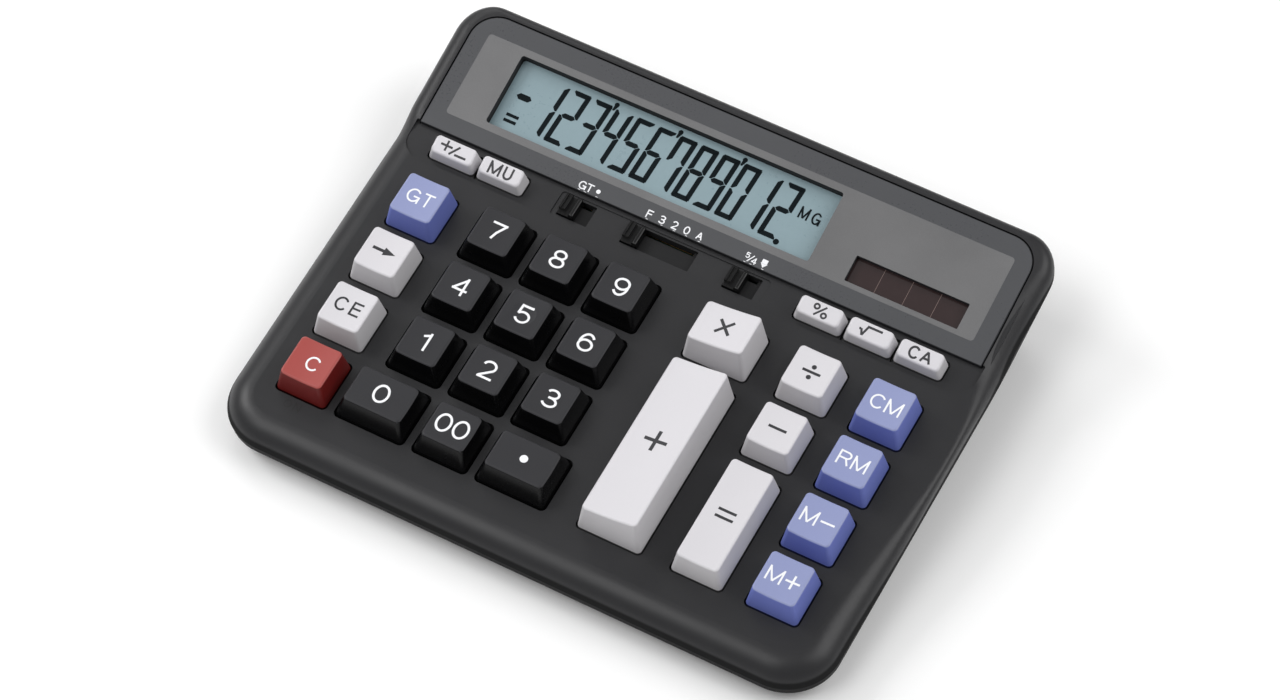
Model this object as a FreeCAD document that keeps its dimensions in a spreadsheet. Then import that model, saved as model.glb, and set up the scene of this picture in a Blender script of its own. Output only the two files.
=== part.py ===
import FreeCAD, Part
import math
import os
import re

import Sketcher

# Desktop calculator with a fixed sloping display, in millimetres.
# The desk is z = 0, x runs to the right along the keyboard and y to the back.
#
# Three frames are used. The desk frame is the model's own. The panel frame lies on the keyboard
# surface, with its origin at the middle of the front edge. The display frame lies on the display
# surface, with its origin where that surface starts behind the switches. All is modelled in the
# panel frame and set on the desk at the end.

Vector = FreeCAD.Vector
Placement = FreeCAD.Placement
Rotation = FreeCAD.Rotation
RIGHT = Vector(1, 0, 0)
BACK = Vector(0, 1, 0)
UP = Vector(0, 0, 1)

# Driving dimensions and named clearances

SIZES = {
    # Case
    "case_width": 181.0,
    "fold_back": 105.3,
    "display_length": 40.5,
    "display_tilt": 10.2,
    "desk_tilt": 5.0,
    "front_height": 13.5,
    "front_corner": 15.0,
    "rear_corner": 10.0,
    "shoulder": 8.0,
    "display_edge": 4.8,
    "rear_edge": 3.0,
    "inner_share": 0.65,
    "crease": 60.0,
    "parting_drop": 6.0,
    "wall": 2.0,
    "ledge_drop": 3.2,
    "ledge_border": 2.0,
    "lip_thick": 1.0,
    "lip_height": 0.9,
    "lip_inset": 2.6,

    # Lower case: the black rim, the pan under it and its floor
    "rim_setback": 0.3,
    "rim_depth": 2.6,
    "rim_width": 3.7,
    "pan_step": 1.2,
    "pan_wall": 2.5,
    "pan_side_inset": 6.0,
    "pan_front_inset": 6.0,
    "pan_rear_inset": 10.0,
    "pan_corner": 9.0,
    "desk_gap": 1.0,
    "floor": 2.2,

    # Display plate and what shows through it
    "plate_side": 5.3,
    "plate_length": 36.9,
    "plate_corner": 8.0,
    "plate_thick": 1.6,
    "plate_gap": 0.35,
    "window_left": -68.7,
    "window_right": 30.2,
    "window_front": 7.4,
    "window_rear": 29.0,
    "window_corner": 0.8,
    "glass_border": 4.0,
    "glass_thick": 2.2,
    "holder_wall": 3.4,
    "holder_rim": 1.2,
    "holder_floor": 1.2,
    "stake_radius": 0.9,
    "stake_near": 12.0,
    "stake_far": 25.0,
    "solar_left": 41.4,
    "solar_right": 74.8,
    "solar_front": 6.7,
    "solar_rear": 14.5,
    "solar_border": 0.8,
    "solar_thick": 1.4,
    "solar_boss": 1.2,
    "solar_floor": 1.0,
    "fit": 0.15,
    "stake_end": 0.8,
    "lead_gap": 0.3,
    "lead_drop": 3.0,
    "lead_inset": 1.4,
    "lead_stand": 1.2,

    # Band with the small keys and the switches
    "band_drop": 1.0,
    "band_side": 4.2,
    "band_front": 94.6,
    "band_corner": 6.5,

    # Keys
    "key_gap": 0.5,
    "row_front": 15.7,
    "row_pitch": 19.0,
    "number_middle": -27.95,
    "number_pitch": 19.0,
    "number_width": 15.9,
    "number_depth": 15.7,
    "number_height": 6.1,
    "number_side": 2.0,
    "number_nose": 2.3,
    "number_tail": 1.25,
    "wide_width": 20.5,
    "bottom_side": 1.75,
    "bottom_nose": 2.7,
    "bottom_tail": 1.9,
    "edge_column": 70.05,
    "edge_width": 14.9,
    "operator_column": 48.25,
    "operator_width": 14.7,
    "function_depth": 14.6,
    "function_height": 7.4,
    "function_side": 1.35,
    "function_nose": 1.5,
    "function_tail": 0.75,
    "sum_column": 22.75,
    "sum_width": 18.7,
    "sum_height": 10.4,
    "sum_rise": 3.0,
    "sum_side": 1.25,
    "small_width": 14.0,
    "small_pitch": 14.8,
    "small_depth": 6.0,
    "small_front": 96.8,
    "small_height": 4.2,
    "small_rise": 1.48,
    "small_side": 0.82,
    "small_nose": 0.54,
    "small_tail": 0.76,
    "small_left": -78.0,
    "small_right": 77.3,
    "tab_width": 3.5,
    "tab_reach": 0.35,
    "tab_height": 0.7,
    "cap_corner": 1.1,
    "cap_edge": 0.4,
    "cap_wall": 1.3,
    "cap_roof": 1.6,
    "flange": 1.0,
    "flange_thick": 1.0,
    "flange_gap": 0.15,
    "key_travel": 2.5,
    "stem_radius": 2.0,

    # Membrane, board and what the board carries
    "flange_clear": 0.35,
    "sheet_thick": 1.0,
    "sheet_inset": 1.5,
    "sheet_rear": 104.0,
    "dome_height": 1.9,
    "dome_radius": 4.0,
    "dome_top_radius": 2.7,
    "dome_gap": 0.1,
    "board_thick": 1.6,
    "board_gap": 1.2,
    "board_front": 14.0,
    "board_rear": 107.0,
    "chip_across": 20.0,
    "chip_along": 57.0,
    "chip_ball": 10.0,
    "chip_height": 1.6,
    "can_across": -40.0,
    "can_along": 93.0,
    "can_radius": 2.5,
    "can_height": 5.2,
    "lead_radius": 0.5,
    "lead_across": 13.0,
    "lead_along": 8.0,
    "ribbon_width": 62.0,
    "ribbon_thick": 0.3,
    "ribbon_gap": 1.0,
    "ribbon_start": 0.5,
    "ribbon_joint": 2.2,
    "sheet_gap": 0.3,

    # Slide switches
    "switch_middle": 100.0,
    "switch_step": 3.85,
    "total_knob": -35.4,
    "decimal_knob": -15.95,
    "rounding_knob": 15.05,
    "knob_width": 4.9,
    "knob_depth": 6.2,
    "knob_rise": 1.5,
    "knob_ridge": 1.5,
    "knob_grip": 1.9,
    "knob_groove": 1.1,
    "knob_step": 1.3,
    "knob_round": 0.6,
    "tray_depth": 1.6,
    "tray_floor": 1.2,
    "tray_gap": 0.25,
    "tray_margin": 1.2,
    "slide_gap": 0.1,
    "knob_stem": 2.4,
    "knob_neck": 0.7,
    "knob_foot": 4.0,
    "foot_thick": 1.1,
    "contact_thick": 0.3,
    "contact_gap": 0.05,
    "contact_room": 1.0,
    "leg_front": 0.6,
    "leg_rear": 1.4,
    "panel_left": -39.7,
    "panel_right": 24.0,
    "panel_front": 95.9,
    "panel_rear": 104.0,
    "panel_drop": 0.3,

    # Screws, posts, feet and battery
    "post_radius": 3.0,
    "post_end": 9.0,
    "post_gap": 0.1,
    "front_screw_across": 58.0,
    "front_screw_along": 10.5,
    "rear_screw_across": 80.6,
    "rear_screw_along": 127.0,
    "boss_wall": 1.1,
    "boss_web": 1.9,
    "screw_radius": 1.0,
    "screw_length": 6.0,
    "head_radius": 2.2,
    "head_height": 1.6,
    "head_gap": 0.3,
    "board_post_radius": 1.9,
    "board_screw_radius": 0.8,
    "board_screw_length": 3.0,
    "board_head_radius": 1.7,
    "board_head_height": 1.1,
    "screw_gap": 0.05,
    "screw_slack": 0.2,
    "post_column_shift": 0.3,
    "post_row_shift": 1.2,
    "sum_post_offset": 17.5,
    "front_post_offset": 8.3,
    "foot_radius": 6.0,
    "foot_recess": 0.6,
    "foot_gap": 0.1,
    "foot_across": 68.0,
    "foot_front": 18.0,
    "foot_rear": 122.0,
    "cell_radius": 10.0,
    "cell_thick": 3.2,
    "cell_gap": 0.4,
    "bay_across": 45.0,
    "bay_wall": 1.5,
    "bay_roof": 1.1,
    "bay_edge": 3.0,
    "bay_front": 1.0,
    "bay_open": 5.0,
    "door_length": 24.5,
    "door_thick": 2.0,
    "door_gap": 0.2,
    "door_tongue": 0.8,
    "tongue_thick": 0.7,
    "tongue_start": 2.0,
    "grip_pitch": 1.8,
    "grip_depth": 0.5,
    "grip_width": 0.8,
    "grip_half": 6.0,
    "grip_start": 4.0,
    "grip_count": 4,
    "strip_thick": 0.3,
    "strip_width": 3.0,
    "strip_spacing": 5.0,
    "strip_gap": 0.4,
    "strip_landing": 4.0,
    "strip_edge": 0.7,
    "strip_reach": 3.0,
    "strip_bend": 1.2,
    "strip_rise": 1.6,
    "strip_lift": 0.6,
    "gate_floor": 0.3,

    # Corners of what lies inside, and how far tools and joined solids run past each other
    "block_corner": 1.0,
    "tight_corner": 0.3,
    "sharp_corner": 0.1,
    "overcut": 1.0,
    "sunk": 0.5,
    "far_away": 60.0,
    "long_way": 260.0,
}

doc = FreeCAD.newDocument("desktop_calculator")
sheet = doc.addObject("Spreadsheet::Sheet", "Sizes")
for row, (alias, number) in enumerate(SIZES.items(), 1):
    sheet.set("A%d" % row, alias)
    sheet.set("B%d" % row, str(number))
    sheet.setAlias("B%d" % row, alias)

WORD = re.compile("[a-z][a-z_]*")


def formula(text):
    """Turn the plain words of a formula into references to the sheet."""
    return WORD.sub(lambda m: "Sizes." + m.group() if m.group() in SIZES else m.group(), text)


def value(text):
    """The number that a formula gives."""
    return float(sheet.evalExpression(formula(text)))


def bind(thing, name, text):
    """Tie a property or a constraint to the sheet."""
    thing.setExpression(name, formula(text))


doc.recompute()

# Where the frames lie

display_on_panel = Placement(Vector(0, value("fold_back"), 0), Rotation(RIGHT, value("display_tilt")))
panel_on_desk = Placement(Vector(0, 0, value("front_height")), Rotation(RIGHT, value("desk_tilt")))
desk_on_panel = panel_on_desk.inverse()
on_side = Rotation(Vector(1, 1, 1), 120)
TOUCH = 0.001


def display_point(along, height):
    """Formulas for a display frame point, as y and z in the panel frame."""
    parts = (along, height)
    y = "fold_back + (%s) * cos(display_tilt * 1 deg) - (%s) * sin(display_tilt * 1 deg)" % parts
    z = "(%s) * sin(display_tilt * 1 deg) + (%s) * cos(display_tilt * 1 deg)" % parts
    return y, z


def desk_point(along, height):
    """Formulas for a desk frame point, as y and z in the panel frame."""
    parts = (along, height)
    y = "(%s) * cos(desk_tilt * 1 deg) + ((%s) - front_height) * sin(desk_tilt * 1 deg)" % parts
    z = "((%s) - front_height) * cos(desk_tilt * 1 deg) - (%s) * sin(desk_tilt * 1 deg)" % parts[::-1]
    return y, z


# Half widths of what lies between the case's sides

PLATE_HALF = "(case_width / 2 - plate_side)"
BAND_HALF = "(case_width / 2 - band_side)"
BOARD_HALF = "(case_width / 2 - rim_setback - pan_side_inset - pan_wall - board_gap)"

# Levels of the stack under the keyboard, in the panel frame

CASE_REAR = "(fold_back + display_length * cos(display_tilt * 1 deg))"
SKIRT_END = "(-(wall + flange_gap + flange_thick))"
SHEET_TOP = "(%s - key_travel - flange_clear)" % SKIRT_END
BOARD_TOP = "(%s - sheet_thick)" % SHEET_TOP
BOARD_BOTTOM = "(%s - board_thick)" % BOARD_TOP
STEM_END = "(%s + dome_height + dome_gap)" % SHEET_TOP
BAND_FLOOR = "(-band_drop)"
TRAY_TOP = "(%s - tray_depth)" % BAND_FLOOR
TRAY_BOTTOM = "(%s - tray_floor)" % TRAY_TOP
BOSS_TOP = "(-(post_end + post_gap))"
SCREW_SEAT = "(%s - boss_web)" % BOSS_TOP
LEAN = "(shoulder - sqrt(shoulder ^ 2 - (shoulder - parting_drop) ^ 2))"


def new_sketch(name, body, height, turn=None, frame=None):
    """A sketch on a body's own ground plane, or a free one for a Part solid."""
    if body is None:
        sketch = doc.addObject("Sketcher::SketchObject", name)
        if frame:
            sketch.Placement = frame * Placement(Vector(0, 0, value(height)), Rotation())
        else:
            bind(sketch, "Placement.Base.z", height)
        return sketch
    ground = [f for f in body.Origin.OriginFeatures if f.Role == "XY_Plane"][0]
    sketch = body.newObject("Sketcher::SketchObject", name)
    sketch.AttachmentSupport = [(ground, "")]
    sketch.MapMode = "FlatFace"
    if turn:
        axis, angle = turn
        sketch.AttachmentOffset = Placement(Vector(), Rotation(axis, value(angle)))
        bind(sketch, "AttachmentOffset.Rotation.Angle", angle)
    bind(sketch, "AttachmentOffset.Base.z", height)
    return sketch


def drive(sketch, name, kind, where, text):
    """Add one named dimension to a sketch and tie it to the sheet."""
    index = sketch.addConstraint(Sketcher.Constraint(kind, *where, value(text)))
    sketch.renameConstraint(index, name)
    bind(sketch, "Constraints." + name, text)


def outline(name, bounds, corner, rear_corner=None, body=None, height="0", turn=None, frame=None):
    """A rectangle with round corners, given by its left, right, front and rear sides."""
    sketch = new_sketch(name, body, height, turn, frame)
    x0, x1, y0, y1 = [value(text) for text in bounds]
    r = value(corner)
    q = value(rear_corner) if rear_corner else r
    starts = [(x0 + r, y0), (x1, y0 + r), (x1 - q, y1), (x0, y1 - q)]
    ends = [(x1 - r, y0), (x1, y1 - q), (x0 + q, y1), (x0, y0 + r)]
    centres = [(x1 - r, y0 + r, r), (x1 - q, y1 - q, q), (x0 + q, y1 - q, q), (x0 + r, y0 + r, r)]
    shapes = [Part.LineSegment(Vector(*a, 0), Vector(*b, 0)) for a, b in zip(starts, ends)]
    for quarter, (x, y, radius) in enumerate(centres):
        begin = math.pi / 2 * (quarter - 1)
        circle = Part.Circle(Vector(x, y, 0), UP, radius)
        shapes.append(Part.ArcOfCircle(circle, begin, begin + math.pi / 2))
    sketch.addGeometry(shapes, False)
    rules = []
    for side in range(4):
        rules.append(Sketcher.Constraint("Tangent", side, 2, 4 + side, 1))
        rules.append(Sketcher.Constraint("Tangent", 4 + side, 2, (side + 1) % 4, 1))
    for side in (0, 2):
        rules.append(Sketcher.Constraint("Horizontal", side))
        rules.append(Sketcher.Constraint("Vertical", side + 1))
    rules.append(Sketcher.Constraint("Equal", 4, 7))
    rules.append(Sketcher.Constraint("Equal", 5, 6))
    if not rear_corner:
        rules.append(Sketcher.Constraint("Equal", 4, 5))
    sketch.addConstraint(rules)
    drive(sketch, "left", "DistanceX", (-1, 1, 3, 1), bounds[0])
    drive(sketch, "right", "DistanceX", (-1, 1, 1, 1), bounds[1])
    drive(sketch, "front", "DistanceY", (-1, 1, 0, 1), bounds[2])
    drive(sketch, "rear", "DistanceY", (-1, 1, 2, 1), bounds[3])
    drive(sketch, "corner", "Radius", (4,), corner)
    if rear_corner:
        drive(sketch, "rear_corner", "Radius", (5,), rear_corner)
    return sketch


def disc(name, x, y, radius, body=None, height="0"):
    """A circle, dimensioned from the origin."""
    sketch = new_sketch(name, body, height)
    sketch.addGeometry(Part.Circle(Vector(value(x), value(y), 0), UP, value(radius)), False)
    drive(sketch, "across", "DistanceX", (-1, 1, 0, 3), x)
    drive(sketch, "along", "DistanceY", (-1, 1, 0, 3), y)
    drive(sketch, "radius", "Radius", (0,), radius)
    return sketch


def extrude(name, sketch, length, frame=None, symmetric=False):
    """A solid pushed out of a free sketch along its normal."""
    solid = doc.addObject("Part::Extrusion", name)
    solid.Base = sketch
    solid.DirMode = "Normal"
    solid.Solid = True
    solid.Symmetric = symmetric
    bind(solid, "LengthFwd", length)
    if frame:
        solid.Placement = frame
    return solid


def prism(name, bounds, corner, low, high, frame=None, rear_corner=None):
    """A block with round upright corners between two heights of a frame."""
    sketch = outline(name + "_outline", bounds, corner, rear_corner, height=low)
    return extrude(name, sketch, "%s - (%s)" % (high, low), frame)


def side_strip(name, corners, middle, width):
    """A side profile, given as points in y and z, pushed out evenly from a middle in x."""
    sketch = doc.addObject("Sketcher::SketchObject", name + "_profile")
    sketch.Placement = Placement(Vector(), on_side)
    bind(sketch, "Placement.Base.x", middle)
    points = [Vector(value(y), value(z), 0) for y, z in corners]
    count = len(points)
    lines = [Part.LineSegment(points[i], points[(i + 1) % count]) for i in range(count)]
    sketch.addGeometry(lines, False)
    for i in range(count):
        sketch.addConstraint(Sketcher.Constraint("Coincident", i, 2, (i + 1) % count, 1))
    for i, (y, z) in enumerate(corners):
        drive(sketch, "along_%d" % i, "DistanceX", (-1, 1, i, 1), y)
        drive(sketch, "height_%d" % i, "DistanceY", (-1, 1, i, 1), z)
    return extrude(name, sketch, width, symmetric=True)


def cylinder(name, x, y, radius, low, high, frame=Placement()):
    """An upright cylinder between two heights of a frame."""
    solid = doc.addObject("Part::Cylinder", name)
    bind(solid, "Radius", radius)
    bind(solid, "Height", "%s - (%s)" % (high, low))
    solid.Placement = frame * Placement(Vector(value(x), value(y), value(low)), Rotation())
    return solid


def common(name, first, second):
    """What two solids share."""
    solid = doc.addObject("Part::Common", name)
    solid.Base = first
    solid.Tool = second
    return solid


def cut(name, base, tool):
    """A solid less a tool."""
    solid = doc.addObject("Part::Cut", name)
    solid.Base = base
    solid.Tool = tool
    return solid


def joined(name, solids):
    """Several solids as one."""
    solid = doc.addObject("Part::MultiFuse", name)
    solid.Shapes = solids
    solid.Refine = True
    return solid


def group(name, solids):
    """Separate solids of one kind, kept together."""
    solid = doc.addObject("Part::Compound", name)
    solid.Links = solids
    return solid


def loft(name, low, high):
    """A solid with straight sides between two free sketches."""
    solid = doc.addObject("Part::Loft", name)
    solid.Sections = [low, high]
    solid.Solid = True
    solid.Ruled = True
    return solid


def pad(body, name, sketch, length, down=False):
    """Add a sketch's block to a body."""
    feature = body.newObject("PartDesign::Pad", name)
    feature.Profile = sketch
    feature.Reversed = down
    bind(feature, "Length", length)
    return feature


def pocket(body, name, sketch, length, up=False):
    """Cut a sketch's block out of a body."""
    feature = body.newObject("PartDesign::Pocket", name)
    feature.Profile = sketch
    feature.Reversed = up
    bind(feature, "Length", length)
    return feature


def grown(bounds, by):
    """Bounds moved outwards by one clearance on every side."""
    left, right, front, rear = bounds
    return ("%s - (%s)" % (left, by), "%s + (%s)" % (right, by),
            "%s - (%s)" % (front, by), "%s + (%s)" % (rear, by))


nodes = []


def keep(thing, name, place=Placement()):
    """Name a finished piece and remember where it sits in the panel frame."""
    thing.Label = name
    nodes.append((thing, name, place))
    return thing


# Case: the bent slab that both shells are cut from

FAR = "far_away"
LONG = "long_way"


def bent_region(name, drop, above):
    """All that lies above, or below, a surface at one depth under the keyboard and the display."""
    sketch = doc.addObject("Sketcher::SketchObject", name + "_profile")
    sketch.Placement = Placement(Vector(), on_side)
    slope = "tan(display_tilt * 1 deg)"
    rear_height = "(%s - fold_back) * %s - (%s) / cos(display_tilt * 1 deg)" % (LONG, slope, drop)
    radius = "crease + (%s)" % drop
    tilt = math.radians(value("display_tilt"))
    down, r, far, long = value(drop), value(radius), value(FAR), value(LONG)
    edge = far if above else -far
    fold = value("fold_back") + (down / math.cos(tilt) - down) / math.tan(tilt)
    reach = r * math.tan(tilt / 2)
    near = Vector(fold - reach, -down, 0)
    after = Vector(fold + reach * math.cos(tilt), -down + reach * math.sin(tilt), 0)
    back = Vector(long, value(rear_height), 0)
    circle = Part.Circle(Vector(fold - reach, r - down, 0), UP, r)
    arc = Part.ArcOfCircle(circle, -math.pi / 2, -math.pi / 2 + tilt)
    corners = [back, Vector(long, edge, 0), Vector(-far, edge, 0), Vector(-far, -down, 0)]
    sketch.addGeometry([Part.LineSegment(corners[3], near), arc, Part.LineSegment(after, back)], False)
    sketch.addGeometry([Part.LineSegment(a, b) for a, b in zip(corners, corners[1:])], False)
    rules = [Sketcher.Constraint("Tangent", 0, 2, 1, 1), Sketcher.Constraint("Tangent", 1, 2, 2, 1)]
    for line in (2, 3, 4):
        rules.append(Sketcher.Constraint("Coincident", line, 2, line + 1, 1))
    rules.append(Sketcher.Constraint("Coincident", 5, 2, 0, 1))
    rules.append(Sketcher.Constraint("Horizontal", 0))
    rules.append(Sketcher.Constraint("Vertical", 3))
    rules.append(Sketcher.Constraint("Horizontal", 4))
    rules.append(Sketcher.Constraint("Vertical", 5))
    sketch.addConstraint(rules)
    drive(sketch, "front", "DistanceX", (-1, 1, 0, 1), "-" + FAR)
    drive(sketch, "drop", "DistanceY", (-1, 1, 0, 1), "-(%s)" % drop)
    drive(sketch, "rear", "DistanceX", (-1, 1, 2, 2), LONG)
    drive(sketch, "rise", "DistanceY", (-1, 1, 2, 2), rear_height)
    drive(sketch, "edge", "DistanceY", (-1, 1, 4, 1), FAR if above else "-" + FAR)
    drive(sketch, "crease", "Radius", (1,), radius)
    lean = sketch.addConstraint(Sketcher.Constraint("Angle", 2, tilt))
    sketch.renameConstraint(lean, "lean")
    bind(sketch, "Constraints.lean", "display_tilt * 1 deg")
    return extrude(name, sketch, "2 * case_width", symmetric=True)


def plan(name, inset, low, high):
    """The case's outline seen square to the keyboard, drawn in by an inset."""
    side = "case_width / 2 - (%s)" % inset
    bounds = ("-(%s)" % side, side, inset, "%s - (%s)" % (CASE_REAR, inset))
    corners = ["front_corner - (%s)" % inset, "rear_corner - (%s)" % inset]
    return prism(name, bounds, corners[0], low, high, rear_corner=corners[1])


def middle_normal(face):
    """The normal halfway across a face."""
    u0, u1, v0, v1 = face.ParameterRange
    return face.normalAt((u0 + u1) / 2, (v0 + v1) / 2)


def soften(name, block, share):
    """Round the top edge: broad at the front and the sides, tighter by the display and the rear."""
    doc.recompute()
    shape = block.Shape
    tops = [f for f in shape.Faces if middle_normal(f).z > 0.5]
    walls = [f for f in shape.Faces if abs(middle_normal(f).z) < 0.01]
    rear = max(v.Y for v in shape.Vertexes)
    fold = value("fold_back")
    edges = []
    for number, edge in enumerate(shape.Edges, 1):
        if not all(any(edge.isSame(e) for f in faces for e in f.Edges) for faces in (tops, walls)):
            continue
        radii = []
        for end in (edge.valueAt(edge.FirstParameter), edge.valueAt(edge.LastParameter)):
            if abs(end.y - rear) < 0.01:
                radii.append(value("rear_edge * %s" % share))
            elif end.y > fold:
                radii.append(value("display_edge * %s" % share))
            else:
                radii.append(value("shoulder * %s" % share))
        edges.append((number, radii[0], radii[1]))
    rounded = doc.addObject("Part::Fillet", name)
    rounded.Base = block
    rounded.Edges = edges
    return rounded


def case_block(name, inset, drop, share):
    """The case's outer form, or the hollow inside it, closed at the top and cut off far below."""
    whole = plan(name + "_plan", inset, "-" + FAR, FAR)
    block = common(name + "_square", whole, bent_region(name + "_under", drop, False))
    return soften(name, block, share)


outer = case_block("outer", "-" + LEAN, "0", "1")
hollow = case_block("hollow", "wall", "wall", "inner_share")
top_part = common("top_part", outer, bent_region("over_parting", "parting_drop", True))
shell = cut("top_shell", top_part, hollow)

# Upper case: what stands inside it

plate_bounds = ("-" + PLATE_HALF, PLATE_HALF, "0", "plate_length")
ledge_bounds = ("-(%s + ledge_border)" % PLATE_HALF, "%s + ledge_border" % PLATE_HALF,
                "-ledge_border / 2", "plate_length + ledge_border / 2")
window = ("window_left", "window_right", "window_front", "window_rear")
glass = grown(window, "glass_border")
solar_window = ("solar_left", "solar_right", "solar_front", "solar_rear")
solar = grown(solar_window, "solar_border")
LEDGE = "(-ledge_drop)"
GLASS_BOTTOM = "(%s - glass_thick)" % LEDGE
HOLDER_BOTTOM = "(%s - holder_floor)" % GLASS_BOTTOM

added = [shell]
added.append(prism("ledge", ledge_bounds, "tight_corner", LEDGE, "-plate_thick / 2", display_on_panel,
                   rear_corner="plate_corner"))
solar_boss = grown(solar, "fit + solar_boss")
added.append(prism("solar_pan", solar_boss, "block_corner", "%s - solar_floor" % LEDGE, "%s + sunk" % LEDGE,
                   display_on_panel))

front_screws = [("-front_screw_across", "front_screw_along"), ("front_screw_across", "front_screw_along")]
rear_screws = [("-rear_screw_across", "rear_screw_along"), ("rear_screw_across", "rear_screw_along")]
REAR_CEILING = "(rear_screw_along - fold_back) * tan(display_tilt * 1 deg) - wall"
LEFT_POSTS = "(-edge_column + number_middle - number_pitch) / 2 - post_column_shift"
MIDDLE_POSTS = "number_middle + number_pitch + sum_post_offset"
RIGHT_POSTS = "(edge_column + operator_column) / 2"
FRONT_POSTS = "row_front + front_post_offset"
LOW_POSTS = "row_front + 3 / 2 * row_pitch - post_row_shift"
HIGH_POSTS = "row_front + 7 / 2 * row_pitch - post_row_shift"
board_screws = [(LEFT_POSTS, LOW_POSTS), (LEFT_POSTS, HIGH_POSTS), (MIDDLE_POSTS, FRONT_POSTS),
                (MIDDLE_POSTS, HIGH_POSTS), (RIGHT_POSTS, FRONT_POSTS), (RIGHT_POSTS, HIGH_POSTS)]
for n, (x, y) in enumerate(front_screws):
    added.append(cylinder("front_post_%d" % n, x, y, "post_radius", "-post_end", "-wall / 2"))
for n, (x, y) in enumerate(rear_screws):
    added.append(cylinder("rear_post_%d" % n, x, y, "post_radius", "-post_end", REAR_CEILING))
for n, (x, y) in enumerate(board_screws):
    added.append(cylinder("board_post_%d" % n, x, y, "board_post_radius", BOARD_TOP, "-wall / 2"))

# Switch trays: name, knob centre and the number of steps it slides

SLOT_FRONT = "(switch_middle - knob_depth / 2 - tray_gap)"
SLOT_REAR = "(switch_middle + knob_depth / 2 + tray_gap)"
switches = [("total", "total_knob", 1), ("decimal", "decimal_knob", 4), ("rounding", "rounding_knob", 1)]
trays, stem_slots, contact_windows = [], [], []
for name, across, steps in switches:
    end = "%s + %d * switch_step" % (across, steps)
    slot = ("%s - knob_width / 2 - tray_gap" % across, "%s + knob_width / 2 + tray_gap" % end,
            SLOT_FRONT, SLOT_REAR)
    added.append(prism(name + "_pan", grown(slot, "tray_margin"), "block_corner", TRAY_BOTTOM,
                       "-(band_drop + wall) / 2"))
    trays.append(prism(name + "_tray", slot, "tight_corner", TRAY_TOP, "overcut"))
    neck = ("%s - knob_stem / 2 - tray_gap" % across, "%s + knob_stem / 2 + tray_gap" % end,
            "switch_middle + knob_depth / 2 - knob_neck - tray_gap", SLOT_REAR)
    stem_slots.append(prism(name + "_slot", neck, "sharp_corner", "%s - overcut" % TRAY_BOTTOM, "0"))
    room = ("%s - knob_foot / 2 - contact_room" % across, "%s + knob_foot / 2 + contact_room" % end,
            "switch_middle - knob_foot / 2 - sunk", "sheet_rear + overcut")
    contact_windows.append(prism(name + "_room", room, "tight_corner", "%s - overcut" % BOARD_TOP, "0"))

# Stakes that hold the display holder, on both sides of the glass

HOLDER_EAR = "(fit + holder_wall / 2)"
stakes = []
for n, x in enumerate(("%s - %s" % (glass[0], HOLDER_EAR), "%s + %s" % (glass[1], HOLDER_EAR))):
    for m, s in enumerate(("stake_near", "stake_far")):
        stakes.append((x, s))
        added.append(cylinder("stake_%d_%d" % (n, m), x, s, "stake_radius",
                              "%s - stake_end" % HOLDER_BOTTOM, "%s + sunk" % LEDGE,
                              display_on_panel))

# Keys

domes = []
openings = []


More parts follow.
